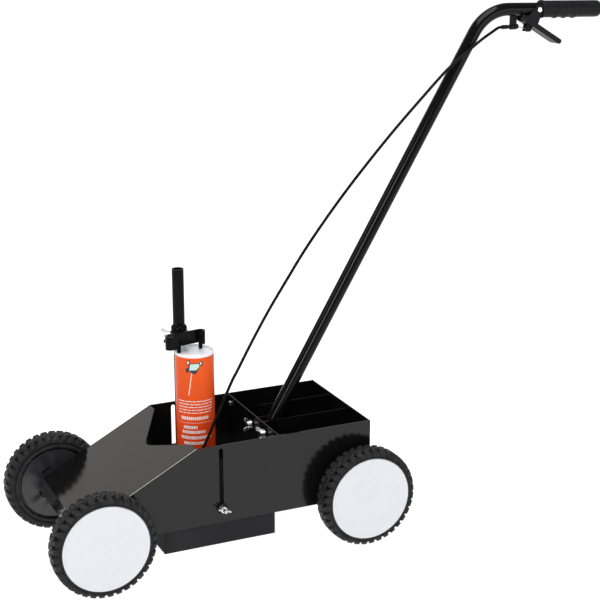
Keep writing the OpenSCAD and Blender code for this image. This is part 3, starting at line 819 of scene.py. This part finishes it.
def cast(obj: bpy.types.Object, voxel: float, rounds: int) -> bpy.types.Object:
    """Fuses an object's crossing parts into one rounded casting.

    Args:
        obj: The object.
        voxel: Size of the finest detail, in metres.
        rounds: Rounds of smoothing.

    Returns:
        The same object, fused.
    """
    fuse = obj.modifiers.new("fuse", "REMESH")
    fuse.mode, fuse.voxel_size, fuse.use_smooth_shade = "VOXEL", voxel, True
    soften = obj.modifiers.new("soften", "SMOOTH")
    soften.factor, soften.iterations = 0.5, rounds
    return settle(obj)


def dress(obj: bpy.types.Object, finish: Finish, body: str, *stands_for: str) -> bpy.types.Object:
    """Gives a piece its finish, its body and what it stands for.

    Args:
        obj: The piece.
        finish: Its finish.
        body: Body that it rides on.
        *stands_for: Nodes that it replaces.

    Returns:
        The piece.
    """
    obj.data.materials.clear()
    obj.data.materials.append(finish.material)
    finish.slot
    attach(obj, body)
    if stands_for:
        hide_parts(*stands_for)
    LOG.info("%s: %d faces on %s", obj.name, len(obj.data.polygons), body)
    return obj


def coat_node(node: bpy.types.Object, finish: Finish, edge: float = 0.0) -> None:
    """Gives a carried-over node its finish and, if asked, rounded edges.

    Args:
        node: The node's object.
        finish: Its finish.
        edge: Width of the rounding, in metres.
    """
    node.data.materials.clear()
    node.data.materials.append(finish.material)
    for face in node.data.polygons:
        face.material_index = 0
    finish.slot
    if edge > 0:
        weld = node.modifiers.new("weld", "WELD")
        weld.merge_threshold = WELD_GAP
        flatten = node.modifiers.new("flatten", "DECIMATE")
        flatten.decimate_type, flatten.angle_limit = "DISSOLVE", FLAT_ANGLE
        round_off = node.modifiers.new("edges", "BEVEL")
        round_off.width, round_off.segments = edge, 2
        round_off.limit_method, round_off.angle_limit = "ANGLE", FOLD_ANGLE
        round_off.harden_normals = True
        round_off.use_clamp_overlap = True


def highlight_edge(node: bpy.types.Object, way: Point, finish: Finish) -> None:
    """Paints a highlight on a sheet's edge that faces a given way, with a bright metal finish.

    Args:
        node: The sheet's node.
        way: Direction that the edge faces.
        finish: The finish that shows there.
    """
    node.data.materials.append(finish.material)
    facing = Vector(way).normalized()
    for face in node.data.polygons:
        if face.normal.dot(facing) > FACING:
            face.material_index = 1


# ---------- wheels ----------


@dataclass
class Wheel:
    """Wheel with a chunky zigzag tyre, a dished rim and a white cover.

    Attributes:
        end: "front" or "rear".
        side: -1 for the left wheel and 1 for the right one.
        lugs: Lugs round the tread.
        steps_per_lug: Steps of the mesh in one lug.
        tread_r: Radius of the tread, in millimetres, as all lengths here are.
        tread_from: Radius where the tread's cuts start.
        seat_r: Radius where the tyre sits on the rim.
        cover_r: Radius of the cover.
        half_w: Half of the tyre's width.
        groove: Depth of the tread's grooves.
        bore_r: Radius of the rim's bore.
        hub_r: Radius of the rim's hub.
        slot_at: Radius where the inner disc's snap slots lie.
        slot_l: Length of a snap slot.
        slot_turn: Heading of the first snap slot, in radians.
    """

    end: str
    side: int
    lugs: int = 36
    steps_per_lug: int = 16
    tread_r: float = 85.0
    tread_from: float = 75.5
    seat_r: float = 60.0
    cover_r: float = 71.0
    half_w: float = 20.3
    groove: float = 4.3
    bore_r: float = 5.06
    hub_r: float = 13.0
    slot_at: float = 30.5
    slot_l: float = 15.0
    slot_turn: float = 0.99

    @property
    def key(self) -> str:
        """Start of the wheel's node names."""
        return f"{self.end}_{'left' if self.side < 0 else 'right'}"

    def centre(self) -> Vector:
        """Middle of the wheel, from its tyre's box."""
        low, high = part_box(f"{self.key}_tyre")
        return (low + high) / 2

    def mount(self, piece: bpy.types.Object) -> bpy.types.Object:
        """Moves a piece drawn along +Z, outer face up, onto its axle end."""
        turn = Matrix.Rotation(math.radians(-90 * self.side), 4, "X")
        piece.data.transform(Matrix.Translation(self.centre()) @ turn @ Matrix.Scale(MM, 4))
        return piece

    def tread_cut(self, turn: float, radius: float, height: float) -> float:
        """Depth of the tread's grooves at a place on the outside.

        Args:
            turn: Angle round the wheel.
            radius: Radius there.
            height: Distance from the middle plane.

        Returns:
            The depth in millimetres.
        """
        phase = turn * self.lugs / (2 * math.pi)
        wave = abs(2 * (phase % 1.0) - 1) * 2 - 1
        across = abs(height)
        fade = min(1.0, max(0.0, (radius - self.tread_from) / 4.0))

        def furrow(distance: float, half: float, slope: float) -> float:
            """Share of a groove's depth at a distance from its middle."""
            return min(1.0, max(0.0, (half + slope - distance) / slope))

        ring = furrow(abs(across - 7.0 - 2.6 * wave), 0.8, 0.7)
        lean = 0.24 * (across - 7.0) / 12.0
        gap = abs((phase + lean + 0.5) % 1.0 - 0.5)
        flare = 1 - min(1.0, max(0.0, (across - 8.0) / 6.0))
        slot = furrow(gap, 0.13 + 0.13 * flare, 0.07) if across > 7.0 else 0.0
        middle = abs((phase + 0.5) % 1.0 - 0.5)
        sipe = furrow(middle, 0.04, 0.05) * 0.55 if across < 3.8 else 0.0
        return fade * self.groove * max(ring, slot, sipe)

    def tyre(self) -> bpy.types.Object:
        """Makes the tyre with its tread cut into the crown and the shoulders."""
        half, top = self.half_w, self.tread_r
        loop = [
            (self.seat_r, 7.2 - half), (self.seat_r, half - 2.8),
            (self.cover_r + 0.5, half - 2.8), (self.cover_r + 0.5, half - 0.6),
            (self.cover_r + 1.2, half - 0.1), (self.cover_r + 2.4, half - 0.1),
            (self.cover_r + 3.0, half - 1.1), (74.8, half - 1.1), (75.6, half - 0.1), (78.5, half - 0.2),
            (81.4, half - 2.2), (83.4, half - 4.6), (84.5, half - 8.0), (top, half - 13.0),
            (top, 13.0 - half), (84.5, 8.0 - half), (83.4, 4.6 - half), (81.4, 2.2 - half),
            (78.5, 0.3 - half), (75.0, 0.1 - half), (72.6, 0.9 - half), (71.4, 2.4 - half),
            (70.4, 2.4 - half), (69.6, 1.0 - half), (68.4, 0.2 - half), (66.6, -half), (65.2, 0.4 - half),
            (64.4, 1.4 - half), (64.2, 7.2 - half),
        ]
        outline = [
            q for q in finer(loop, 1.05) if not (q[0] < 60.1 and abs(q[1]) < half - 3.2 and q[1] % 2 > 1.1)
        ]

        def carve(turn: float, radius: float, height: float) -> Flat:
            """Sinks the grooves below the outside."""
            if radius < self.tread_from:
                return radius, height
            depth = self.tread_cut(turn, radius, height)
            lean = min(1.0, max(0.0, (abs(height) - 10.0) / 10.0))
            pull = math.copysign(depth * 0.55 * lean, height)
            return radius - depth * (1 - 0.45 * lean), height - pull

        steps = self.lugs * self.steps_per_lug
        tyre = solid_of(spin(outline, steps, carve), f"{self.key}_treaded_tyre")

        def depth(turn: float, radius: float, height: float) -> float:
            """Share of a groove's depth for the painted shade, with painted shade lines round the cover among
            them.
            """
            if radius >= self.tread_from:
                shoulder = min(1.0, max(0.0, (abs(height) - 11.0) / 4.0))
                return self.tread_cut(turn, radius, height) / self.groove * (1 - 0.68 * shoulder)
            # Painted shade lines round the cover, on its outer and its inner side.
            if height > 0:
                return 0.6 if 73.9 < radius < 75.0 else 0.0
            return 0.4 if 69.9 < radius < 72.2 else 0.0

        mark_grooves(tyre, steps, outline, depth)
        return self.mount(tyre)

    def rim(self) -> bpy.types.Object:
        """Makes the rim: a shallow fan-waved inner disc with four snap slots, and its barrel."""
        barrel = self.seat_r - 4.2
        half = self.half_w
        face = 2.4 - half
        loop = rounded(
            [
                (self.bore_r, -26.0), (self.bore_r, 14.0), (self.hub_r, 14.0), (self.hub_r, 4.0),
                (barrel, -7.6), (barrel, half - 3.6), (self.seat_r - 0.2, half - 3.6),
                (self.seat_r - 0.2, face + 4.4), (self.seat_r + 2.9, face + 4.4),
                (self.seat_r + 2.9, face + 3.6), (self.seat_r + 0.9, face + 3.6), (self.seat_r + 0.2, face),
                (self.hub_r + 3.0, face + 3.4), (self.hub_r - 1.6, face + 2.6), (self.hub_r - 1.6, -26.0),
            ],
            0.6,
        )

        def in_slot(turn: float, radius: float, height: float) -> bool:
            """True at the bottom of a snap slot."""
            aside = abs((turn - self.slot_turn + math.pi / 4) % (math.pi / 2) - math.pi / 4) * radius
            return height < face + 3.6 and aside < self.slot_l / 2 and abs(radius - self.slot_at) < 1.7

        def wave(turn: float, radius: float, height: float) -> Flat:
            """Waves the inner disc and sinks its snap slots."""
            if not (self.hub_r + 1 < radius < self.seat_r and height < face + 3.6):
                return radius, height
            share = (radius - self.hub_r) / (self.seat_r - self.hub_r)
            fan = 0.6 * math.cos(turn * 4 + 0.5) + 0.25 * math.cos(turn * 11 + 1.1) * (1 + math.cos(turn * 3))
            sink = 4.0 if in_slot(turn, radius, height) else 0.0
            return radius, height + 1.3 * fan * math.sin(math.pi * share) + sink

        def depth(turn: float, radius: float, height: float) -> float:
            """Marks the snap slots and the gap beside the tyre's bead for painted shade."""
            gap = self.seat_r + 0.5 < radius < self.seat_r + 3.2 and height < 0
            return 1.0 if gap or in_slot(turn, radius, height) else 0.0

        steps, outline = 300, finer(loop, 0.9)
        rim = solid_of(spin(outline, steps, wave), f"{self.key}_dished_rim")
        mark_grooves(rim, steps, outline, depth)
        return self.mount(rim)

    def cover(self) -> bpy.types.Object:
        """Makes the white cover with its gate ring and rolled edge."""
        half, out = self.half_w, self.cover_r
        face = half - 0.9
        loop = [
            (0.01, face - 1.6), (0.01, face - 0.15), (4.0, face - 0.15), (4.6, face), (5.0, face + 0.45),
            (5.6, face + 0.6), (6.1, face + 0.45), (6.6, face), (8.0, face - 0.1), (20.0, face + 0.05),
            (40.0, face + 0.1), (58.0, face + 0.05), (62.0, face - 0.1), (63.6, face - 0.35),
            (65.2, face), (66.8, half - 0.3), (68.2, half), (69.6, half - 0.05), (70.5, half - 0.5),
            (out, half - 1.3), (out, half - 2.5), (out - 3.0, half - 2.6), (out - 7.4, face - 1.6),
            (self.seat_r - 4.4, face - 1.6), (self.seat_r - 4.4, half - 10.0),
            (self.seat_r - 6.0, half - 10.0), (self.seat_r - 6.0, face - 1.6),
        ]
        shape = spin(finer(loop, 3.0), 160)
        return self.mount(solid_of(shape, f"{self.key}_white_cover"))

    def build(self) -> None:
        """Makes the wheel's three pieces."""
        body = f"{self.key}_wheel"
        dress(self.tyre(), Finish.TYRE, body, f"{self.key}_tyre")
        rim = dress(self.rim(), Finish.RIM, body, f"{self.key}_rim")
        cover = dress(self.cover(), Finish.COVER, body, f"{self.key}_cover")
        for piece in (rim, cover):
            sharpen(piece, 50)


def sharpen(piece: bpy.types.Object, degrees: float) -> None:
    """Marks edges sharper than an angle, so that smooth shading stops there.

    Args:
        piece: The piece.
        degrees: The angle.
    """
    shape = bmesh.new()
    shape.from_mesh(piece.data)
    for edge in shape.edges:
        if len(edge.link_faces) == 2 and edge.calc_face_angle() > math.radians(degrees):
            edge.smooth = False
    shape.to_mesh(piece.data)
    shape.free()


# ---------- box ----------


@dataclass
class Box:
    """Sheet-steel box with its axles and fasteners, kept from the model.

    Attributes:
        fold: Width of the rounding on folded sheets, in metres, as all widths here are.
        edge: Width of the rounding on the side panels.
        bolt_edge: Width of the rounding on bolts, studs and washers.
        spacer_edge: Width of the rounding on the wheels' spacers.
        axle_edge: Width of the rounding on the axles' ends.
        slope: Direction that the side panels' front edge with the painted highlight faces.
    """

    fold: float = 0.00095
    edge: float = 0.00045
    bolt_edge: float = 0.0002
    spacer_edge: float = 0.0003
    axle_edge: float = 0.0004
    slope: Point = (-0.467, 0.0, 0.884)

    def build(self, nodes: dict[str, bpy.types.Object]) -> None:
        """Dresses the box's nodes.

        Args:
            nodes: The model's nodes by name.
        """
        for name in ("left_side_panel", "right_side_panel"):
            coat_node(nodes[name], Finish.COAT, self.edge)
        # Painted highlight: the left panel's sloping front edge gets bright zinc.
        highlight_edge(nodes["left_side_panel"], self.slope, Finish.ZINC)
        for name in ("hood", "rear_panel"):
            coat_node(nodes[name], Finish.COAT, self.fold)
        for name in ("bulkhead", "left_divider", "right_divider", "storage_floor", "handle_foot"):
            coat_node(nodes[name], Finish.TUBE, self.fold)
        # Painted shade: the skirt gets the dull copy of the coat in place of the shaded floor it would
        # reflect.
        coat_node(nodes["spray_skirt"], Finish.MATT_SHADE, self.fold)
        coat_node(nodes["can_cradle"], Finish.HIDDEN, self.fold)
        for name in ("panel_bolts", "cradle_studs", "push_nuts"):
            coat_node(nodes[name], Finish.STEEL, self.bolt_edge)
        for name in ("foot_bolts", "stud_washers"):
            coat_node(nodes[name], Finish.TUBE, self.bolt_edge)
        coat_node(nodes["wheel_spacers"], Finish.COAT, self.spacer_edge)
        for name in ("front_axle", "rear_axle"):
            coat_node(nodes[name], Finish.TUBE, self.axle_edge)
        coat_node(nodes["axle_bushes"], Finish.JACKET)
        LOG.info("box dressed")


# ---------- fasteners ----------


@dataclass
class WingNut:
    """Cast wing nut that replaces one node.

    Attributes:
        node: Node that it replaces.
        body: Body that it rides on.
        way: Direction from its seat to its wings' tips, along one of the axes.
        wings: Direction of one wing, square to way.
        bore_r: Radius of its bore, in millimetres.
        voxel: Size of the casting's finest detail, in metres.
    """

    node: str
    body: str
    way: Point
    wings: Point
    bore_r: float = 3.0
    voxel: float = 0.00038

    def seat(self) -> Vector:
        """Middle of the seat face, in metres."""
        low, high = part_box(self.node)
        middle = (low + high) / 2
        way = Vector(self.way)
        reach = sum(abs(way[k]) * (high[k] - low[k]) / 2 for k in range(3))
        return middle - way * reach

    def build(self) -> None:
        """Makes the nut: a tapered boss, the stud's end in it, and two wings."""
        shape = bmesh.new()
        r = self.bore_r
        bmesh.ops.create_cone(
            shape, cap_ends=True, segments=32, radius1=r + 3.8, radius2=r + 2.3, depth=8.0,
            matrix=Matrix.Translation((0, 0, 4.1)),
        )
        bmesh.ops.create_cone(
            shape, cap_ends=True, segments=24, radius1=r - 0.1, radius2=r - 0.1, depth=3.0,
            matrix=Matrix.Translation((0, 0, 8.6)),
        )
        for side in (-1, 1):
            corners = [
                (side * (r + 0.2), 1.2), (side * (r + 3.4), 1.6), (side * 10.6, 5.6), (side * 12.3, 9.4),
                (side * 11.6, 12.4), (side * 9.4, 13.2), (side * 7.2, 11.8), (side * (r + 1.0), 7.6),
            ]
            loop = rounded(corners, 1.6, 3)
            rows = [
                [Vector((x, t * (1.15 if abs(x) < 7 else 1.35), z)) for x, z in loop] for t in (-1.0, 1.0)
            ]
            add_grid(shape, rows, caps=True)
        nut = solid_of(shape, f"{self.node}_cast")
        way = Vector(self.way).normalized()
        wing = Vector(self.wings)
        wing = (wing - way * wing.dot(way)).normalized()
        turn = Matrix((wing, way.cross(wing), way)).transposed().to_4x4()
        nut.data.transform(Matrix.Translation(self.seat()) @ turn @ Matrix.Scale(MM, 4))
        cast(nut, self.voxel, 3)
        dress(nut, Finish.ZINC, self.body, self.node)


# ---------- can ----------


@dataclass
class Can:
    """Upside-down paint can with bars and a cart symbol on its label.

    Attributes:
        axis: X and Y of its axis, in millimetres, as all lengths here are.
        radius: Radius of its body.
        ink: Height of the print above the body.
        face: Heading of the label's front, in degrees.
        base_z: Height of its base, which faces up.
        print_step: Longest flat stretch of print round the can.
    """

    axis: Flat = (-238.5, 0.0)
    radius: float = 32.5
    ink: float = 0.05
    face: float = -112.0
    base_z: float = 329.0
    print_step: float = 1.5

    def print_shape(
        self, name: str, outlines: Iterable[Sequence[Flat]], finish: Finish, level: int = 1
    ) -> None:
        """Prints flat outlines on the can.

        Args:
            name: Name of the piece.
            outlines: Corners (distance round the can, height below its base) of each shape.
            finish: Its ink.
            level: 1 for the lowest ink, and 1 more for each ink on it.
        """
        shape = bmesh.new()
        for outline in outlines:
            shape.faces.new([shape.verts.new((s, 0.0, -z)) for s, z in outline])
        cut = self.print_step
        spans = [v.co.x for v in shape.verts]
        for k in range(math.floor(min(spans) / cut), math.ceil(max(spans) / cut) + 1):
            everything = [*shape.verts, *shape.edges, *shape.faces]
            bmesh.ops.bisect_plane(shape, geom=everything, plane_co=(k * cut, 0, 0), plane_no=(1, 0, 0))
        made = bmesh.ops.extrude_face_region(shape, geom=list(shape.faces))
        for item in made["geom"]:
            if isinstance(item, bmesh.types.BMVert):
                item.co.y = 1.0
        for vert in shape.verts:
            out = self.radius - 0.1 + (0.1 + self.ink * level) * vert.co.y
            heading = math.radians(self.face) + vert.co.x / self.radius
            vert.co = Vector(
                (
                    (self.axis[0] + out * math.cos(heading)) * MM,
                    (self.axis[1] + out * math.sin(heading)) * MM,
                    (self.base_z + vert.co.z) * MM,
                )
            )
        piece = solid_of(shape, name, False)
        dress(piece, finish, "cradle")

    def symbol(self) -> None:
        """Prints the cart symbol, head down as the can is."""

        def disc(x: float, z: float, r: float, squash: float = 1.0) -> list[Flat]:
            """Corners of a small disc."""
            return [
                (x + r * squash * math.cos(2 * math.pi * k / 20), z + r * math.sin(2 * math.pi * k / 20))
                for k in range(20)
            ]

        hull = [(-8.5, 9.0), (9.0, 8.0), (10.0, 14.5), (4.5, 23.0), (-6.0, 24.0), (-10.0, 19.5)]
        self.print_shape("cart_symbol_edge", [hull], Finish.INK_DARK)
        tray = [(-6.6, 10.2), (8.0, 9.4), (8.8, 14.2), (3.6, 20.2), (-8.0, 20.8)]
        self.print_shape("cart_symbol_tray", [tray], Finish.INK_PALE, 2)
        wheels = [disc(-9.0, 7.5, 4.6, 0.62), disc(12.2, 9.0, 4.4, 0.62), disc(-11.6, 21.0, 4.4, 0.62)]
        self.print_shape("cart_symbol_wheels", [*wheels, disc(-0.8, 23.6, 3.2, 1.7)], Finish.INK_DARK, 3)
        hubs = [disc(-9.6, 7.5, 2.6, 0.55), disc(11.4, 9.0, 2.3, 0.55)]
        rod = [(-4.6, 25.0), (-3.4, 25.2), (-9.0, 64.0), (-10.4, 63.8)]
        self.print_shape("cart_symbol_light_parts", [*hubs, rod], Finish.INK_WHITE, 4)

    def bars(self) -> None:
        """Prints plain bars in the place of the label's print: small ones, then large ones."""
        rows: list[list[Flat]] = []
        left, right, small_height, space = -31.0, 33.0, 1.3, 1.5
        for row in range(5):
            z = 74.5 + 5.0 * row
            edge = left + (row % 2) * space
            k = row
            while edge < right - 3:
                width = 4.2 + (k * 7 % 5) * 1.7
                end = min(edge + width, right)
                rows.append([(edge, z), (end, z), (end, z + small_height), (edge, z + small_height)])
                edge = end + space
                k += 1
        self.print_shape("label_small_bars", rows, Finish.INK_WHITE)
        large: list[list[Flat]] = []
        for z, height, left, right in (
            (102.0, 5.4, -25.0, 26.0), (118.0, 5.0, -20.0, 5.0), (126.5, 5.0, -23.0, 19.0),
            (136.0, 5.4, -26.0, 28.0), (146.0, 5.0, -20.0, 22.0),
        ):
            edge = left
            k = int(z)
            while edge < right - 1.5:
                width = 1.9 + (k * 5 % 4) * 0.45
                large.append([(edge, z), (edge + width, z), (edge + width, z + height), (edge, z + height)])
                edge += width + 0.9
                k += 1
        self.print_shape("label_large_bars", large, Finish.INK_WHITE)
        line = [(-29.0, 112.6), (31.0, 112.6), (31.0, 113.0), (-29.0, 113.0)]
        self.print_shape("label_thin_line", [line], Finish.INK_WHITE)

    def build(self, nodes: dict[str, bpy.types.Object]) -> None:
        """Dresses the can and prints its label.

        Args:
            nodes: The model's nodes by name.
        """
        coat_node(nodes["can_body"], Finish.LABEL)
        coat_node(nodes["can_base"], Finish.WHITE)
        coat_node(nodes["can_shoulder"], Finish.TIN)
        coat_node(nodes["valve_cup"], Finish.TIN)
        coat_node(nodes["spray_actuator"], Finish.NOZZLE, 0.0003)
        self.symbol()
        self.bars()


# ---------- cradle, mast and retainer ----------


@dataclass
class Carrier:
    """Cup, mast, retainer and spray trigger."""

    def build(self, nodes: dict[str, bpy.types.Object]) -> None:
        """Dresses the carrier's nodes.

        Args:
            nodes: The model's nodes by name.
        """
        coat_node(nodes["can_cup"], Finish.TUBE)
        coat_node(nodes["mast"], Finish.TUBE)
        for name in ("retainer_collar", "retainer_band"):
            coat_node(nodes[name], Finish.TUBE, 0.0005)
        for name in ("trigger_lever", "trigger_pin", "cable_clamp", "lower_ferrule"):
            coat_node(nodes[name], Finish.ZINC, 0.0003)
        self.pull_wire()
        LOG.info("carrier dressed")

    def pull_wire(self) -> None:
        """Makes the bare wire from the ferrule to the trigger."""
        low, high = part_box("lower_wire")
        middle, reach = (low + high) / 2, high.z - low.z
        steps, sides = 16, 16
        route = [Vector((middle.x, middle.y, low.z + reach * k / steps)) for k in range(steps + 1)]
        piece = solid_of(sweep(route, [(high.y - low.y) / 2] * len(route), sides), "lower_pull_wire")
        sharpen(piece, 60)
        piece.data.materials.append(Finish.STEEL.material)
        Finish.STEEL.slot
        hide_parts("lower_wire")
        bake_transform(piece)


# ---------- handle ----------


@dataclass
class Handle:
    """Bent handle tube with its grip, brake lever and cable.

    Attributes:
        lean: Lean of the tube's long run from upright, in degrees.
        tilt: Drop of its top run from level, in degrees.
        bend_r: Radius of its bend, in millimetres, as all lengths here are.
        tube_r: Radius of the tube.
        foot: X and Z of its lower end.
        elbow: X and Z where the lines of its two runs cross.
        end_x: X of its upper end.
        grip_start_x: X of the grip's collar.
        grip_end_x: X of the grip's round end.
        grip_r: Radius of the grip.
        grip_stops: Places of the finger stops along the grip.
        stop_h: Height of a finger stop.
        sheath_r: Radius of the cable's sheath.
    """

    lean: float = 30.5
    tilt: float = 1.6
    bend_r: float = 75.0
    tube_r: float = 11.0
    foot: Flat = (-120.4, 150.0)
    elbow: Flat = (302.5, 868.0)
    end_x: float = 529.5
    grip_start_x: float = 410.5
    grip_end_x: float = 534.5
    grip_r: float = 14.5
    grip_stops: tuple[float, ...] = (30.0, 49.0, 68.0)
    stop_h: float = 1.9
    sheath_r: float = 2.5

    def path(self) -> list[Vector]:
        """Centre line of the tube, in millimetres."""
        up = Vector((math.sin(math.radians(self.lean)), 0, math.cos(math.radians(self.lean))))
        back = Vector((math.cos(math.radians(self.tilt)), 0, -math.sin(math.radians(self.tilt))))
        elbow = Vector((self.elbow[0], 0, self.elbow[1]))
        start = Vector((self.foot[0], 0, self.foot[1]))
        turn = up.angle(back)
        reach = self.bend_r * math.tan(turn / 2)
        first, last = elbow - up * reach, elbow + back * reach
        inward = (up.cross(back)).cross(up).normalized()
        hub = first + inward * self.bend_r
        run_steps, arc_steps, end_steps = 20, 24, 10
        turns = [turn * k / arc_steps for k in range(arc_steps + 1)]
        arc = [hub - inward * (self.bend_r * math.cos(a)) + up * (self.bend_r * math.sin(a)) for a in turns]
        run = [start + (first - start) * k / run_steps for k in range(run_steps)]
        end = elbow + back * ((self.end_x - self.elbow[0]) / back.x)
        return [*run, *arc, *[last + (end - last) * k / end_steps for k in range(1, end_steps + 1)]]

    def tube(self) -> None:
        """Makes the bent tube."""
        route = [p * MM for p in self.path()]
        shape = sweep(route, [self.tube_r * MM] * len(route), 48)
        piece = solid_of(shape, "bent_handle_tube")
        sharpen(piece, 60)
        dress(piece, Finish.HANDLE, "chassis", "handle_tube")

    def grip_outline(self, length: float) -> list[Flat]:
        """Outline of the grip: collar, fine rings and a round end.

        Args:
            length: Length of the grip.

        Returns:
            Points (distance along the grip, radius).
        """
        r = self.grip_r
        outline: list[Flat] = [
            (0.0, r - 2.0), (0.3, r + 0.2), (1.0, r + 0.9), (2.0, r + 1.15), (4.2, r + 1.15), (5.2, r + 0.8),
            (6.0, r - 0.3), (7.5, r - 0.6),
        ]
        ring_steps, ring_depth = 104, 0.35
        rings_from, rings_to = 8.5, length - 8.0
        for k in range(ring_steps + 1):
            along = rings_from + (rings_to - rings_from) * k / ring_steps
            outline.append((along, r - (0.0 if k % 2 else ring_depth)))
        round_r, round_steps = 7.0, 8
        for k in range(1, round_steps + 1):
            a = math.pi / 2 * k / round_steps
            outline.append((length - round_r + round_r * math.sin(a), r - round_r + round_r * math.cos(a)))
        return outline

    def grip(self) -> None:
        """Makes the rubber grip with its finger stops underneath."""
        back = Vector((math.cos(math.radians(self.tilt)), 0, -math.sin(math.radians(self.tilt))))
        elbow = Vector((self.elbow[0], 0, self.elbow[1]))
        start = elbow + back * ((self.grip_start_x - self.elbow[0]) / back.x)
        slant = self.grip_r * math.tan(math.radians(self.tilt))
        length = (self.grip_end_x - self.grip_start_x) / back.x - slant
        sides, stop_l = 64, 4.2
        rows = []
        down = Vector((0, 0, -1))
        up = back.cross(Vector((0, 1, 0))).normalized()
        if up.z < 0:
            up = -up
        for along, radius in self.grip_outline(length):
            centre = start + back * along
            row = []
            for a in range(sides):
                turn = 2 * math.pi * a / sides
                out = up * math.cos(turn) + Vector((0, 1, 0)) * math.sin(turn)
                under = max(0.0, out.dot(down)) ** 3
                bump = 0.0
                for stop in self.grip_stops:
                    bump += self.stop_h * math.exp(-(((along - stop) / stop_l) ** 2))
                row.append((centre + out * (radius + bump * under)) * MM)
            rows.append(row)
        shape = bmesh.new()
        add_grid(shape, rows, caps=True)
        piece = solid_of(shape, "ringed_grip")
        sharpen(piece, 70)
        dress(piece, Finish.GRIP, "chassis", "grip")

    def cable(self, route: Sequence[Point]) -> None:
        """Makes the cable's sheath.

        Args:
            route: Points that it passes through, in millimetres.
        """
        centres = [p * MM for p in smooth_route(route, 12)]
        shape = sweep(centres, [self.sheath_r * MM] * len(centres), 20)
        piece = solid_of(shape, "cable_sheath_run")
        sharpen(piece, 60)
        piece.data.materials.append(Finish.JACKET.material)
        Finish.JACKET.slot
        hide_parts("cable_sheath")
        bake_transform(piece)
        LOG.info("cable sheath: %d faces", len(piece.data.polygons))

    def build(self, nodes: dict[str, bpy.types.Object]) -> None:
        """Makes the handle's pieces and dresses its nodes.

        Args:
            nodes: The model's nodes by name.
        """
        self.tube()
        self.grip()
        self.cable(CABLE_ROUTE)
        for name in ("hand_lever", "cable_post", "cable_nipple", "cable_adjuster"):
            coat_node(nodes[name], Finish.LEVER, 0.0004)
        coat_node(nodes["lever_pivot"], Finish.ZINC, 0.0003)
        coat_node(nodes["upper_wire"], Finish.STEEL)


CABLE_ROUTE: tuple[Point, ...] = (
    (-257.5, -42.0, 140.3), (-256.5, -42.0, 148.0), (-249.0, -42.0, 164.0), (-236.0, -42.0, 187.0),
    (-193.0, -42.0, 277.0), (-179.0, -42.0, 302.0), (-151.0, -41.0, 350.0), (-121.0, -40.0, 398.0),
    (-88.0, -38.0, 445.0), (-54.0, -36.0, 492.0), (-16.0, -34.0, 539.0), (24.0, -32.0, 585.0),
    (68.0, -30.0, 632.0), (114.0, -27.0, 678.0), (164.0, -24.0, 725.0), (216.0, -21.0, 772.0),
    (250.0, -19.0, 796.0), (285.0, -14.0, 818.0), (312.0, -6.0, 830.0), (327.0, -1.0, 836.0),
    (335.2, 0.0, 837.0),
)


def main() -> None:
    """Builds the whole model and reports each piece."""
    logging.basicConfig(level=logging.INFO, format="%(message)s")
    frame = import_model()
    nodes = frame["nodes"]
    Studio().build()
    Box().build(nodes)
    for end in ("front", "rear"):
        for side in (-1, 1):
            Wheel(end, side).build()
    Can().build(nodes)
    Carrier().build(nodes)
    Handle().build(nodes)
    for side, name in ((-1, "left"), (1, "right")):
        WingNut(f"{name}_wing_nut", f"{name}_nut", (0.0, side, 0.0), (0.95, 0.0, -0.32)).build()
    for name in ("retainer_screw", "foot_wing_nut_near", "foot_wing_nut_far"):
        coat_node(nodes[name], Finish.ZINC, CAST_EDGE)
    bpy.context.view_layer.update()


if __name__ == "__main__":
    main()
